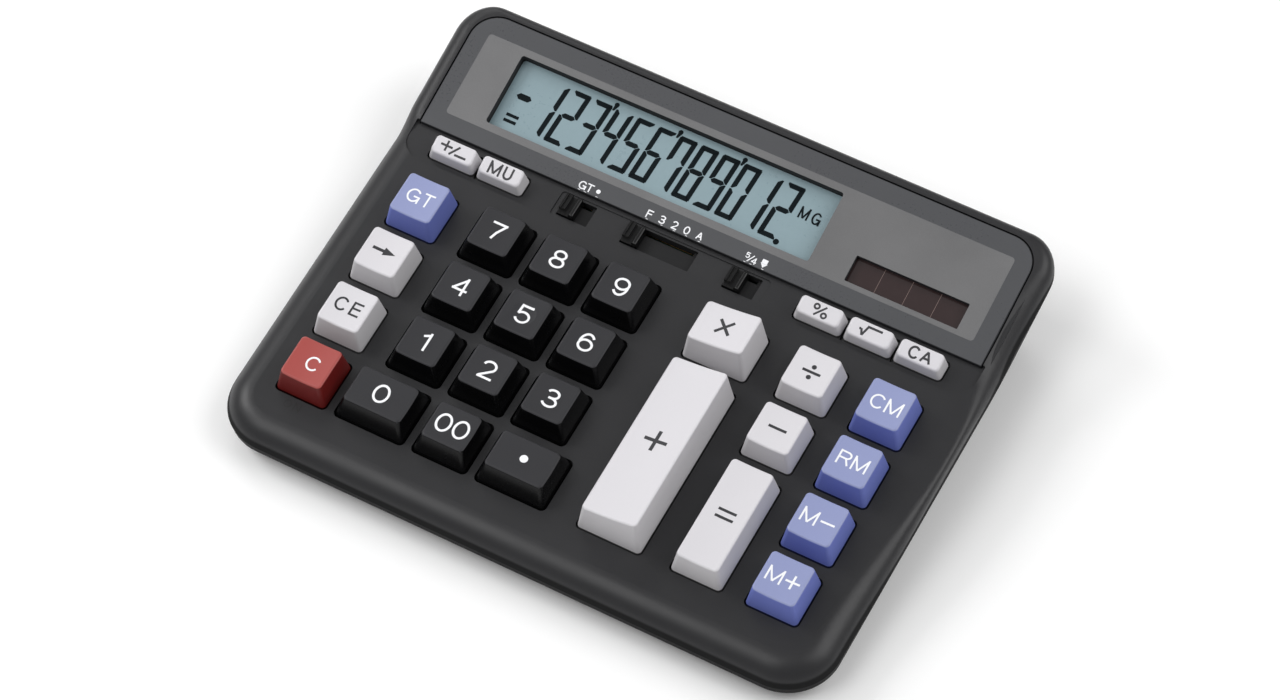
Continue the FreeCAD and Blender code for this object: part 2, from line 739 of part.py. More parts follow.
def key(name, across, front, width, depth, height, tapers, stems=("0",), rise=None, small=False):
    """A hollow cap with a flange that holds it under the case, modelled about its own middle."""
    side, nose, tail = tapers
    base = BAND_FLOOR if small else "0"
    body = doc.addObject("PartDesign::Body", name)
    bounds = ("-(%s) / 2" % width, "(%s) / 2" % width, "-(%s) / 2" % depth, "(%s) / 2" % depth)
    foot = outline(name + "_foot", bounds, "cap_corner", body=body, height=base)
    turn, lean_x, lean_y = None, "1", "1"
    if rise and small:
        turn = (RIGHT, "atan(%s / (%s - %s - %s))" % (rise, depth, nose, tail))
        lean_y = "cos(%s)" % turn[1]
    elif rise:
        turn = (BACK, "-atan(%s / (%s - 2 * %s))" % (rise, width, side))
        lean_x = "cos(%s)" % turn[1]
    top_bounds = ("(-(%s) / 2 + %s) / %s" % (width, side, lean_x),
                  "((%s) / 2 - %s) / %s" % (width, side, lean_x),
                  "(-(%s) / 2 + %s) / %s" % (depth, nose, lean_y),
                  "((%s) / 2 - %s) / %s" % (depth, tail, lean_y))
    brow = outline(name + "_brow", top_bounds, "cap_corner", body=body,
                   height="%s + %s - cap_edge" % (base, height), turn=turn)
    top = outline(name + "_top", grown(top_bounds, "-cap_edge"), "cap_corner", body=body,
                  height="%s + %s" % (base, height), turn=turn)
    cap = body.newObject("PartDesign::AdditiveLoft", name + "_cap")
    cap.Profile = foot
    cap.Sections = [brow]
    cap.Ruled = True
    crown = body.newObject("PartDesign::AdditiveLoft", name + "_crown")
    crown.Profile = brow
    crown.Sections = [top]
    crown.Ruled = True
    pad(body, name + "_skirt", foot, "%s - %s" % (base, SKIRT_END), down=True)
    side_flange = "0" if small else "flange"
    rim = ("%s - %s" % (bounds[0], side_flange), "%s + %s" % (bounds[1], side_flange),
           "%s - flange" % bounds[2], "%s + flange" % bounds[3])
    flange = outline(name + "_flange", rim, "cap_corner", body=body, height=SKIRT_END)
    pad(body, name + "_brim", flange, "flange_thick")
    if small:
        tab_bounds = ("-tab_width / 2", "tab_width / 2", "%s - tab_reach" % bounds[2],
                      "%s + cap_wall / 2" % bounds[2])
        tab = outline(name + "_tab", tab_bounds, "sharp_corner", body=body, height=SKIRT_END)
        pad(body, name + "_latch", tab, "%s + tab_height - %s" % (base, SKIRT_END))
    inner_low = grown(bounds, "-cap_wall")
    lowest = "%s - %s / 2" % (height, rise) if rise else height
    inner_high = ("-(%s) / 2 + %s + cap_wall" % (width, side), "(%s) / 2 - %s - cap_wall" % (width, side),
                  "-(%s) / 2 + %s + cap_wall" % (depth, nose), "(%s) / 2 - %s - cap_wall" % (depth, tail))
    under = "%s + %s - cap_roof" % (base, lowest)
    mouth = outline(name + "_mouth", inner_low, "tight_corner", body=body, height=SKIRT_END)
    ceiling = outline(name + "_ceiling", inner_high, "tight_corner", body=body, height=under)
    room = body.newObject("PartDesign::SubtractiveLoft", name + "_room")
    room.Profile = mouth
    room.Sections = [ceiling]
    room.Ruled = True
    for n, along in enumerate(stems):
        stem = disc(name + "_stem_%d" % n, "0", along, "stem_radius", body=body, height=STEM_END)
        pad(body, name + "_post_%d" % n, stem, "%s - %s + sunk" % (under, STEM_END))
        domes.append((across, "%s + (%s) / 2 + (%s)" % (front, depth, along)))
    place = Placement(Vector(value(across), value("%s + (%s) / 2" % (front, depth)), 0), Rotation())
    keep(body, name, place)
    if not small:
        shape = tuple("%s + (%s)" % (m, b) for m, b in
                      zip((across, across, "%s + (%s) / 2" % (front, depth),
                           "%s + (%s) / 2" % (front, depth)), bounds))
        openings.append(prism(name + "_opening", grown(shape, "key_gap"), "cap_corner + key_gap",
                              "-wall - overcut", "overcut"))


ROWS = ["row_front + %d * row_pitch" % n for n in range(4)]
NUMBER = ("number_side", "number_nose", "number_tail")
BOTTOM = ("bottom_side", "bottom_nose", "bottom_tail")
FUNCTION = ("function_side", "function_nose", "function_tail")
SUM = ("sum_side", "function_nose", "function_tail")
SMALL = ("small_side", "small_nose", "small_tail")

for n in range(9):
    column = "number_middle + %d * number_pitch" % (n % 3 - 1)
    key("key_%d" % (n + 1), column, ROWS[1 + n // 3], "number_width", "number_depth",
        "number_height", NUMBER)
ZERO = "number_middle - number_pitch + number_width / 2 - wide_width / 2"
POINT = "number_middle + number_pitch - number_width / 2 + wide_width / 2"
key("key_0", ZERO, ROWS[0], "wide_width", "number_depth", "number_height", BOTTOM)
key("key_double_zero", "number_middle", ROWS[0], "number_width", "number_depth", "number_height", BOTTOM)
key("key_point", POINT, ROWS[0], "wide_width", "number_depth", "number_height", BOTTOM)

for n, name in enumerate(("key_clear", "key_clear_entry", "key_backspace", "key_grand_total")):
    key(name, "-edge_column", ROWS[n], "edge_width", "function_depth", "function_height", FUNCTION)
for n, name in enumerate(("key_memory_plus", "key_memory_minus", "key_memory_recall",
                          "key_memory_clear")):
    key(name, "edge_column", ROWS[n], "edge_width", "function_depth", "function_height", FUNCTION)
key("key_equals", "operator_column", ROWS[0], "operator_width", "row_pitch + function_depth",
    "function_height", FUNCTION, stems=("-row_pitch / 2", "row_pitch / 2"))
key("key_subtract", "operator_column", ROWS[2], "operator_width", "function_depth",
    "function_height", FUNCTION)
key("key_divide", "operator_column", ROWS[3], "operator_width", "function_depth",
    "function_height", FUNCTION)
key("key_add", "sum_column", ROWS[0], "sum_width", "2 * row_pitch + function_depth", "sum_height",
    SUM, stems=("-row_pitch", "0", "row_pitch"), rise="sum_rise")
key("key_multiply", "sum_column", ROWS[3], "sum_width", "function_depth", "sum_height", SUM,
    rise="sum_rise")
for n, name in enumerate(("key_sign", "key_markup")):
    key(name, "small_left + small_width / 2 + %d * small_pitch" % n, "small_front", "small_width",
        "small_depth", "small_height", SMALL, rise="small_rise", small=True)
for n, name in enumerate(("key_percent", "key_root", "key_clear_all")):
    key(name, "small_right - small_width / 2 - %d * small_pitch" % (2 - n), "small_front",
        "small_width", "small_depth", "small_height", SMALL, rise="small_rise", small=True)
trenches = [
    ("small_left", "small_left + small_pitch + small_width"),
    ("small_right - 2 * small_pitch - small_width", "small_right"),
]
for n, (left, right) in enumerate(trenches):
    bounds = (left, right, "small_front", "small_front + small_depth")
    openings.append(prism("trench_%d" % n, grown(bounds, "key_gap"), "cap_corner + key_gap",
                          "-wall - overcut", "overcut"))

# Upper case: what is cut out of it

removed = openings + trays + stem_slots
removed.append(prism("plate_seat", grown(plate_bounds, "plate_gap"), "tight_corner", "-plate_thick",
                     "overcut", display_on_panel, rear_corner="plate_corner + plate_gap"))
band = ("-" + BAND_HALF, BAND_HALF, "band_front", "fold_back + sunk")
removed.append(prism("band", band, "band_corner", BAND_FLOOR, "overcut", rear_corner="tight_corner"))
switch_panel = ("panel_left", "panel_right", "panel_front", "panel_rear")
removed.append(prism("switch_panel", switch_panel, "block_corner", "%s - panel_drop" % BAND_FLOOR,
                     "overcut"))
removed.append(prism("window", window, "window_corner", "%s - overcut" % LEDGE, "overcut",
                     display_on_panel))
removed.append(prism("solar_pocket", grown(solar, "fit"), "tight_corner", LEDGE, "overcut",
                     display_on_panel))
leads = ["(solar_left + solar_right) / 2 - lead_across", "(solar_left + solar_right) / 2 + lead_across"]
for n, x in enumerate(leads):
    removed.append(cylinder("lead_hole_%d" % n, x, "lead_along", "lead_radius + lead_gap",
                            "%s - solar_floor - overcut" % LEDGE, "%s + overcut" % LEDGE,
                            display_on_panel))
for n, (x, y) in enumerate(front_screws + rear_screws):
    removed.append(cylinder("pilot_%d" % n, x, y, "screw_radius + screw_gap", "-post_end - overcut",
                            "%s + screw_length + screw_slack" % SCREW_SEAT))
for n, (x, y) in enumerate(board_screws):
    removed.append(cylinder("board_pilot_%d" % n, x, y, "board_screw_radius + screw_gap",
                            "%s - overcut" % BOARD_TOP,
                            "%s + board_screw_length + screw_slack" % BOARD_TOP))
upper = cut("upper_body", joined("upper_solid", added), joined("upper_tools", removed))
keep(upper, "upper_case")

# Display plate, glass, holder and ribbon

plate_block = prism("plate_block", plate_bounds, "tight_corner", "-plate_thick", "0", display_on_panel,
                    rear_corner="plate_corner")
plate_tools = [prism("plate_" + name, bounds, corner, "-plate_thick - overcut", "overcut", display_on_panel)
               for name, bounds, corner in (("window", window, "window_corner"),
                                            ("solar_window", solar_window, "tight_corner"))]
keep(cut("plate", plate_block, joined("plate_tools", plate_tools)), "display_plate")
keep(prism("glass", glass, "tight_corner", GLASS_BOTTOM, LEDGE, display_on_panel), "lcd_glass")

holder_bounds = ("%s - fit - holder_wall" % glass[0], "%s + fit + holder_wall" % glass[1],
                 "%s - fit - holder_rim" % glass[2], "%s + fit + holder_rim" % glass[3])
frame_block = prism("holder_block", holder_bounds, "block_corner", HOLDER_BOTTOM, LEDGE, display_on_panel)
frame_cuts = [prism("holder_room", grown(glass, "fit"), "tight_corner", GLASS_BOTTOM, "0",
                    display_on_panel)]
RIBBON_MIDDLE = "(window_left + window_right) / 2"
notch = ("%s - ribbon_width / 2 - ribbon_gap" % RIBBON_MIDDLE,
         "%s + ribbon_width / 2 + ribbon_gap" % RIBBON_MIDDLE,
         "%s - fit - holder_wall - overcut" % glass[2], "window_front + ribbon_gap")
frame_cuts.append(prism("holder_notch", notch, "tight_corner", "%s - overcut" % HOLDER_BOTTOM, "0",
                        display_on_panel))
for n, (x, y) in enumerate(stakes):
    frame_cuts.append(cylinder("stake_hole_%d" % n, x, y, "stake_radius + fit",
                               "%s - overcut" % HOLDER_BOTTOM, "0", display_on_panel))
keep(cut("holder", frame_block, joined("holder_tools", frame_cuts)), "lcd_holder")

under_glass = "%s - ribbon_thick" % GLASS_BOTTOM
ribbon = [
    display_point("window_front - ribbon_start", GLASS_BOTTOM),
    display_point("%s + ribbon_gap" % glass[2], GLASS_BOTTOM),
    ("board_rear", "%s + ribbon_thick" % BOARD_TOP),
    ("board_rear - ribbon_joint", "%s + ribbon_thick" % BOARD_TOP),
    ("board_rear - ribbon_joint", BOARD_TOP),
    ("board_rear + ribbon_thick / 3", BOARD_TOP),
    display_point("%s + ribbon_gap" % glass[2], under_glass),
    display_point("window_front - ribbon_start", under_glass),
]
keep(side_strip("ribbon", ribbon, RIBBON_MIDDLE, "ribbon_width"), "lcd_ribbon")

keep(prism("cell_sheet", solar, "tight_corner", LEDGE, "%s + solar_thick" % LEDGE, display_on_panel),
     "solar_cell")


def wire(name, x):
    """A lead from the solar cell down through its pan and forward to the board."""
    path = [display_point("lead_along", LEDGE), display_point("lead_along", "%s - lead_drop" % LEDGE),
            ("board_rear - lead_inset", "%s + lead_stand" % BOARD_TOP),
            ("board_rear - lead_inset", BOARD_TOP)]
    route = doc.addObject("Sketcher::SketchObject", name + "_route")
    route.Placement = Placement(Vector(), on_side)
    bind(route, "Placement.Base.x", x)
    points = [Vector(value(y), value(z), 0) for y, z in path]
    route.addGeometry([Part.LineSegment(a, b) for a, b in zip(points, points[1:])], False)
    for i in range(2):
        route.addConstraint(Sketcher.Constraint("Coincident", i, 2, i + 1, 1))
    for i, (y, z) in enumerate(path[:3]):
        drive(route, "along_%d" % i, "DistanceX", (-1, 1, i, 1), y)
        drive(route, "height_%d" % i, "DistanceY", (-1, 1, i, 1), z)
    drive(route, "along_3", "DistanceX", (-1, 1, 2, 2), path[3][0])
    drive(route, "height_3", "DistanceY", (-1, 1, 2, 2), path[3][1])
    start = display_on_panel * Placement(Vector(value(x), value("lead_along"), value(LEDGE)), Rotation())
    section = disc(name + "_section", "0", "0", "lead_radius")
    section.setExpression("Placement.Base.z", None)
    section.Placement = start
    sweep = doc.addObject("Part::Sweep", name)
    sweep.Sections = [section]
    sweep.Spine = (route, ["Edge1", "Edge2", "Edge3"])
    sweep.Solid = True
    sweep.Transition = "Right corner"
    return sweep


keep(group("leads", [wire("lead_%d" % n, x) for n, x in enumerate(leads)]), "solar_leads")

# Membrane with one dome under each stem, and the board

sheet_bounds = ("-%s + sheet_inset" % BOARD_HALF, "%s - sheet_inset" % BOARD_HALF, "board_front",
                "sheet_rear")
rubber = [prism("sheet", sheet_bounds, "block_corner", BOARD_TOP, SHEET_TOP)]
for n, (x, y) in enumerate(domes):
    dome = doc.addObject("Part::Cone", "dome_%d" % n)
    bind(dome, "Radius1", "dome_radius")
    bind(dome, "Radius2", "dome_top_radius")
    bind(dome, "Height", "dome_height + sheet_thick / 2")
    dome.Placement = Placement(Vector(value(x), value(y), value("%s - sheet_thick / 2" % SHEET_TOP)),
                               Rotation())
    rubber.append(dome)
sheet_holes = list(contact_windows)
for n, (x, y) in enumerate(board_screws):
    sheet_holes.append(cylinder("sheet_hole_%d" % n, x, y, "board_post_radius + sheet_gap",
                                "%s - overcut" % BOARD_TOP, "0"))
keep(cut("membrane", joined("membrane_solid", rubber), joined("membrane_holes", sheet_holes)),
     "key_membrane")

board_bounds = ("-" + BOARD_HALF, BOARD_HALF, "board_front", "board_rear")
board_holes = []
for n, (x, y) in enumerate(board_screws):
    board_holes.append(cylinder("board_hole_%d" % n, x, y, "board_screw_radius + screw_slack",
                                "%s - overcut" % BOARD_BOTTOM, "0"))
keep(cut("board", prism("board_block", board_bounds, "block_corner", BOARD_BOTTOM, BOARD_TOP),
         joined("board_tools", board_holes)), "circuit_board")

blob = doc.addObject("Part::Sphere", "blob")
bind(blob, "Radius", "chip_ball")
bind(blob, "Angle1", "asin((chip_ball - chip_height) / chip_ball)")
chip_middle = Vector(value("chip_across"), value("chip_along"),
                     value("%s + chip_ball - chip_height" % BOARD_BOTTOM))
blob.Placement = Placement(chip_middle, Rotation(RIGHT, 180))
keep(blob, "processor_blob")
keep(cylinder("can", "can_across", "can_along", "can_radius", "%s - can_height" % BOARD_BOTTOM,
              BOARD_BOTTOM), "capacitor")

# Switch knobs and their contacts, each modelled about its own middle

KNOB_BOTTOM = "(%s + slide_gap)" % TRAY_TOP
KNOB_TOP = "(%s + knob_rise)" % BAND_FLOOR
FOOT_TOP = "(%s - slide_gap)" % TRAY_BOTTOM
FOOT_BOTTOM = "(%s - foot_thick)" % FOOT_TOP
knob_bounds = ("-knob_width / 2", "knob_width / 2", "-knob_depth / 2", "knob_depth / 2")
neck_bounds = ("-knob_stem / 2", "knob_stem / 2", "knob_depth / 2 - knob_neck", "knob_depth / 2")
foot_bounds = ("-knob_foot / 2", "knob_foot / 2", "-knob_foot / 2", "knob_depth / 2")


def knob(name):
    """A sliding knob: a short ribbed grip and a long round ridge above, a neck and a foot below the tray."""
    body = doc.addObject("PartDesign::Body", name)
    block = outline(name + "_block", knob_bounds, "tight_corner", body=body, height=KNOB_BOTTOM)
    pad(body, name + "_slider", block, "%s - %s" % (KNOB_TOP, KNOB_BOTTOM))
    valley = ("-knob_width / 2 + knob_grip", "knob_width / 2 - knob_ridge", "-knob_depth", "knob_depth")
    groove = outline(name + "_valley", valley, "sharp_corner", body=body, height=KNOB_TOP)
    pocket(body, name + "_groove", groove, "knob_groove")
    front = ("-knob_width", "knob_width / 2 - knob_ridge", "-knob_depth", "-knob_depth / 2 + knob_step")
    step = outline(name + "_front", front, "sharp_corner", body=body, height=KNOB_TOP)
    pocket(body, name + "_landing", step, "knob_groove")
    rib = ("-knob_width / 2 + knob_grip / 3", "-knob_width / 2 + 2 * knob_grip / 3", "-knob_depth",
           "knob_depth")
    line = outline(name + "_rib", rib, "sharp_corner", body=body, height=KNOB_TOP)
    ribbing = pocket(body, name + "_ribbing", line, "knob_groove / 3")
    doc.recompute()
    ridge = [value("knob_width / 2 - knob_ridge"), value("knob_width / 2")]
    long_edges = []
    for number, edge in enumerate(ribbing.Shape.Edges, 1):
        ends = [vertex.Point for vertex in edge.Vertexes]
        if all(abs(end.z - value(KNOB_TOP)) < TOUCH for end in ends):
            if any(all(abs(end.x - x) < TOUCH for end in ends) for x in ridge):
                long_edges.append("Edge%d" % number)
    crown = body.newObject("PartDesign::Fillet", name + "_crown")
    crown.Base = (ribbing, long_edges)
    bind(crown, "Radius", "knob_round")
    neck = outline(name + "_neck", neck_bounds, "sharp_corner", body=body, height=KNOB_BOTTOM)
    pad(body, name + "_stem", neck, "%s - %s" % (KNOB_BOTTOM, FOOT_TOP), down=True)
    foot = outline(name + "_foot", foot_bounds, "tight_corner", body=body, height=FOOT_TOP)
    pad(body, name + "_shoe", foot, "foot_thick", down=True)
    return body


def contact(name):
    """A sprung bridge under a knob's foot, with two legs that run on the board."""
    body = doc.addObject("PartDesign::Body", name)
    bridge = outline(name + "_bridge", foot_bounds, "tight_corner", body=body, height=FOOT_BOTTOM)
    pad(body, name + "_plate", bridge, "contact_thick", down=True)
    for n, sign in enumerate(("-", "")):
        inner = "%s(knob_foot / 2 - contact_thick)" % sign
        outer_side = "%s(knob_foot / 2)" % sign
        sides = (outer_side, inner) if sign else (inner, outer_side)
        leg = outline(name + "_leg_%d" % n, sides + ("-leg_front", "leg_rear"), "sharp_corner",
                      body=body, height="%s - contact_thick" % FOOT_BOTTOM)
        pad(body, name + "_arm_%d" % n, leg,
            "%s - contact_thick - %s - contact_gap" % (FOOT_BOTTOM, BOARD_TOP), down=True)
    return body


for name, across, steps in switches:
    place = Placement(Vector(value(across), value("switch_middle"), 0), Rotation())
    keep(knob("knob_" + name), "knob_" + name, place)
    keep(contact("contact_" + name), "contact_" + name, place)

# Lower case: a rim that follows the bent profile and a pan that tapers to the desk

rim_plan = plan("rim_plan", "rim_setback", "-" + FAR, FAR)
below_parting = bent_region("below_parting", "parting_drop", False)
above_rim = bent_region("above_rim", "parting_drop + rim_depth", True)
rim = common("rim", common("rim_top", rim_plan, below_parting), above_rim)

CHORD_DROP = "(parting_drop + rim_depth / 2)"
CHORD_RISE = "((%s - fold_back) * tan(display_tilt * 1 deg))" % CASE_REAR
CHORD_LENGTH = "sqrt(%s ^ 2 + %s ^ 2)" % (CASE_REAR, CHORD_RISE)
chord_angle = math.degrees(math.atan2(value(CHORD_RISE), value(CASE_REAR)))
chord_on_panel = Placement(Vector(0, 0, value("-" + CHORD_DROP)), Rotation(RIGHT, chord_angle))
PAN_REAR = "(%s * cos(desk_tilt * 1 deg) - pan_rear_inset)" % CASE_REAR


def pan(name, inset, height):
    """The tapering form under the rim, or the hollow inside it."""
    side = "case_width / 2 - pan_side_inset - (%s)" % inset
    low = outline(name + "_low", ("-(%s)" % side, side, "pan_front_inset + (%s)" % inset,
                                  "%s - (%s)" % (PAN_REAR, inset)),
                  "pan_corner - (%s)" % inset, height=height, frame=desk_on_panel)
    side = "case_width / 2 - pan_step - (%s)" % inset
    high = outline(name + "_high", ("-(%s)" % side, side, "pan_step + (%s)" % inset,
                                    "%s - pan_step - (%s)" % (CHORD_LENGTH, inset)),
                   "front_corner - pan_step - (%s)" % inset, "rear_corner - pan_step - (%s)" % inset,
                   frame=chord_on_panel)
    return loft(name, low, high)


pan_form = common("pan_form", pan("pan", "0", "desk_gap"), below_parting)
lower_form = joined("lower_form", [rim, pan_form])
opening = common("rim_opening", plan("rim_room", "rim_setback + rim_width", "-" + FAR, FAR),
                 above_rim)
lower_shell = cut("lower_shell", lower_form,
                  joined("lower_hollow", [pan("pan_hollow", "pan_wall", "desk_gap + floor"), opening]))

# Lip inside the parting line, kept clear of the upper shell's wall

lip_outer = plan("lip_outer", "lip_inset", "-" + FAR, FAR)
lip_inner = plan("lip_inner", "lip_inset + lip_thick", "-" + FAR, FAR)
lip_ring = cut("lip_ring", lip_outer, lip_inner)
lip_low = common("lip_low", lip_ring, bent_region("over_lip_foot", "parting_drop + rim_depth / 2", True))
lip = common("lip", lip_low, bent_region("under_lip_top", "parting_drop - lip_height", False))

# Battery bay: it opens through the floor, and the door slides out to the rear under it

DOOR_SIDE = "(cell_radius + cell_gap + bay_wall)"
DOOR_TOP = "(desk_gap + door_thick)"
DOOR_FRONT = "(%s - door_length)" % PAN_REAR
CELL_ALONG = "(%s + bay_front + %s)" % (DOOR_FRONT, DOOR_SIDE)
CELL_BOTTOM = "(%s + door_gap / 2)" % DOOR_TOP
CELL_TOP = "(%s + cell_thick)" % CELL_BOTTOM
bay_bounds = ("bay_across - %s - bay_edge" % DOOR_SIDE, "bay_across + %s + bay_edge" % DOOR_SIDE,
              "%s - bay_edge" % DOOR_FRONT, "%s + pan_rear_inset" % PAN_REAR)
bay_block = prism("bay_block", bay_bounds, "block_corner", "desk_gap", "%s + bay_roof" % CELL_BOTTOM,
                  desk_on_panel)
bay_ring = cylinder("bay_ring", "bay_across", CELL_ALONG, DOOR_SIDE, "desk_gap + floor / 2",
                    "%s - door_gap" % CELL_TOP, desk_on_panel)
inside_added = [bay_block, bay_ring]
for n, (x, y) in enumerate(front_screws + rear_screws):
    inside_added.append(cylinder("boss_%d" % n, x, y, "head_radius + head_gap + boss_wall",
                                 "-" + FAR, BOSS_TOP))
inside = common("inside", joined("inside_solid", inside_added), lower_form)

lower_removed = []
for n, (x, y) in enumerate(front_screws + rear_screws):
    lower_removed.append(cylinder("well_%d" % n, x, y, "head_radius + head_gap", "-" + FAR, SCREW_SEAT))
    lower_removed.append(cylinder("shaft_%d" % n, x, y, "screw_radius + head_gap", "-" + FAR, "0"))
feet_at = [("-foot_across", "foot_front"), ("foot_across", "foot_front"),
           ("-foot_across", "foot_rear"), ("foot_across", "foot_rear")]
for n, (x, y) in enumerate(feet_at):
    lower_removed.append(cylinder("foot_seat_%d" % n, x, y, "foot_radius + foot_gap",
                                  "desk_gap - overcut",
                                  "desk_gap + foot_recess", desk_on_panel))
door_bounds = ("bay_across - %s" % DOOR_SIDE, "bay_across + %s" % DOOR_SIDE, DOOR_FRONT, PAN_REAR)
door_room = ("bay_across - %s - door_gap" % DOOR_SIDE, "bay_across + %s + door_gap" % DOOR_SIDE,
             "%s - door_gap" % DOOR_FRONT, "%s + pan_rear_inset" % PAN_REAR)
lower_removed.append(prism("door_room", door_room, "tight_corner", "0", CELL_BOTTOM, desk_on_panel))
TONGUE_LOW = "(desk_gap + (door_thick - tongue_thick) / 2)"
groove_bounds = ("%s - door_tongue" % door_room[0], "%s + door_tongue" % door_room[1],
                 "%s + tongue_start" % DOOR_FRONT, "%s + pan_rear_inset" % PAN_REAR)
lower_removed.append(prism("door_groove", groove_bounds, "sharp_corner", "%s - door_gap / 2" % TONGUE_LOW,
                           "%s + tongue_thick + door_gap / 2" % TONGUE_LOW, desk_on_panel))
lower_removed.append(cylinder("cell_room", "bay_across", CELL_ALONG, "cell_radius + cell_gap",
                              "desk_gap", "%s + bay_open" % CELL_TOP, desk_on_panel))
strip_gate = ("bay_across - strip_width / 2 - strip_gap", "bay_across + strip_width / 2 + strip_gap",
              "%s - %s - overcut" % (CELL_ALONG, DOOR_SIDE), CELL_ALONG)
lower_removed.append(prism("strip_gate", strip_gate, "sharp_corner", "%s + gate_floor" % CELL_BOTTOM,
                           "%s + bay_open" % CELL_TOP, desk_on_panel))
lower = cut("lower_body", joined("lower_solid", [lower_shell, inside, lip]),
            joined("lower_tools", lower_removed))
keep(lower, "lower_case")

# Battery door, cell and contacts

door = doc.addObject("PartDesign::Body", "door")
door_plate = outline("door_plate", door_bounds, "tight_corner", body=door, height="desk_gap")
pad(door, "door_slab", door_plate, "door_thick")
tongue_bounds = ("%s - door_tongue" % door_bounds[0], "%s + door_tongue" % door_bounds[1],
                 "%s + tongue_start + 2 * door_gap" % DOOR_FRONT, "%s - door_gap" % PAN_REAR)
tongue = outline("door_rails", tongue_bounds, "sharp_corner", body=door, height=TONGUE_LOW)
pad(door, "door_tongues", tongue, "tongue_thick")
grip_bounds = ("bay_across - grip_half", "bay_across + grip_half", "%s + grip_start" % DOOR_FRONT,
               "%s + grip_start + grip_width" % DOOR_FRONT)
grip = outline("door_grip", grip_bounds, "tight_corner", body=door, height="desk_gap")
first_grip = pocket(door, "door_grip_line", grip, "grip_depth", up=True)
door.Tip = first_grip
doc.recompute()
lines = door.newObject("PartDesign::LinearPattern", "door_grip_lines")
lines.Originals = [first_grip]
lines.Direction = (grip, ["V_Axis"])
bind(lines, "Occurrences", "grip_count")
bind(lines, "Length", "(grip_count - 1) * grip_pitch")
door.Tip = lines
keep(door, "battery_door", desk_on_panel)

keep(cylinder("cell", "bay_across", CELL_ALONG, "cell_radius", CELL_BOTTOM, CELL_TOP, desk_on_panel),
     "button_cell")


def board_under(along, below):
    """Formulas for a point a little under the board."""
    return along, "%s - %s" % (BOARD_BOTTOM, below)


def strip_end():
    """The last corners of a contact strip, where it lies under the board's rear edge."""
    return [board_under("board_rear - strip_edge", "0"), board_under("board_rear - strip_landing", "0"),
            board_under("board_rear - strip_landing", "strip_thick"),
            board_under("board_rear - strip_edge - strip_thick", "strip_thick")]


CELL_FRONT = "(%s - cell_radius)" % CELL_ALONG
BEND = "(%s - %s - strip_bend)" % (CELL_ALONG, DOOR_SIDE)
top_strip = [desk_point("%s + strip_reach" % CELL_ALONG, "%s + strip_thick" % CELL_TOP),
             desk_point(BEND, "%s + strip_thick" % CELL_TOP)]
top_strip += strip_end()
top_strip += [desk_point("%s - strip_thick" % BEND, CELL_TOP),
              desk_point("%s + strip_reach" % CELL_ALONG, CELL_TOP)]
side_strip_points = [desk_point(CELL_FRONT, "%s + strip_lift" % CELL_BOTTOM),
                     desk_point(CELL_FRONT, "%s + strip_rise" % CELL_TOP),
                     desk_point(BEND, "%s + strip_rise" % CELL_TOP)]
side_strip_points += strip_end()
side_strip_points += [desk_point("%s - strip_thick" % BEND, "%s + strip_rise - strip_thick" % CELL_TOP),
                      desk_point("%s - strip_thick" % CELL_FRONT,
                                 "%s + strip_rise - strip_thick" % CELL_TOP),
                      desk_point("%s - strip_thick" % CELL_FRONT, "%s + strip_lift" % CELL_BOTTOM)]
strips = [side_strip("top_strip", top_strip, "bay_across - strip_spacing", "strip_width"),
          side_strip("edge_strip", side_strip_points, "bay_across", "strip_width")]
keep(group("strips", strips), "battery_contacts")

# Screws and feet


def screw(name, x, y, seat, radius, length, head, thick):
    """A screw that points up, its head under the seat."""
    shank = cylinder(name + "_shank", x, y, radius, "%s - %s / 2" % (seat, thick),
                     "%s + %s" % (seat, length))
    return joined(name, [shank, cylinder(name + "_head", x, y, head, "%s - %s" % (seat, thick), seat)])


case_set = [screw("case_screw_%d" % n, x, y, SCREW_SEAT, "screw_radius", "screw_length", "head_radius",
                  "head_height") for n, (x, y) in enumerate(front_screws + rear_screws)]
keep(group("case_set", case_set), "case_screws")
board_set = [screw("board_screw_%d" % n, x, y, BOARD_BOTTOM, "board_screw_radius",
                   "board_thick + board_screw_length", "board_head_radius", "board_head_height")
             for n, (x, y) in enumerate(board_screws)]
keep(group("board_set", board_set), "board_screws")
feet = [cylinder("foot_%d" % n, x, y, "foot_radius", "0", "desk_gap + foot_recess", desk_on_panel)
        for n, (x, y) in enumerate(feet_at)]
keep(group("feet", feet), "rubber_feet")

# Set on the desk, centred, checked and written

doc.recompute()
box = FreeCAD.BoundBox()
for thing in (upper, lower):
    shape = thing.Shape.copy()
    shape.Placement = panel_on_desk * shape.Placement
    box.add(shape.optimalBoundingBox(False, False))
centred = Placement(Vector(0, -box.Center.y, 0), Rotation()) * panel_on_desk

for thing, name, place in nodes:
    thing.Placement = centred * place * thing.Placement
doc.recompute()

for thing in doc.Objects:
    if "Invalid" in thing.State or "Error" in thing.State:
        raise RuntimeError("%s did not build" % thing.Name)
os.makedirs("parts", exist_ok=True)
for thing, name, place in nodes:
    shape = thing.Shape
    if shape.isNull() or not shape.isValid():
        raise RuntimeError("%s has a faulty shape" % name)
    shape.exportStep("parts/%s.step" % name)
    print(name, len(shape.Solids), round(shape.Volume, 1))
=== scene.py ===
"""Looks of a desktop calculator with a fixed sloping display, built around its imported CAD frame."""

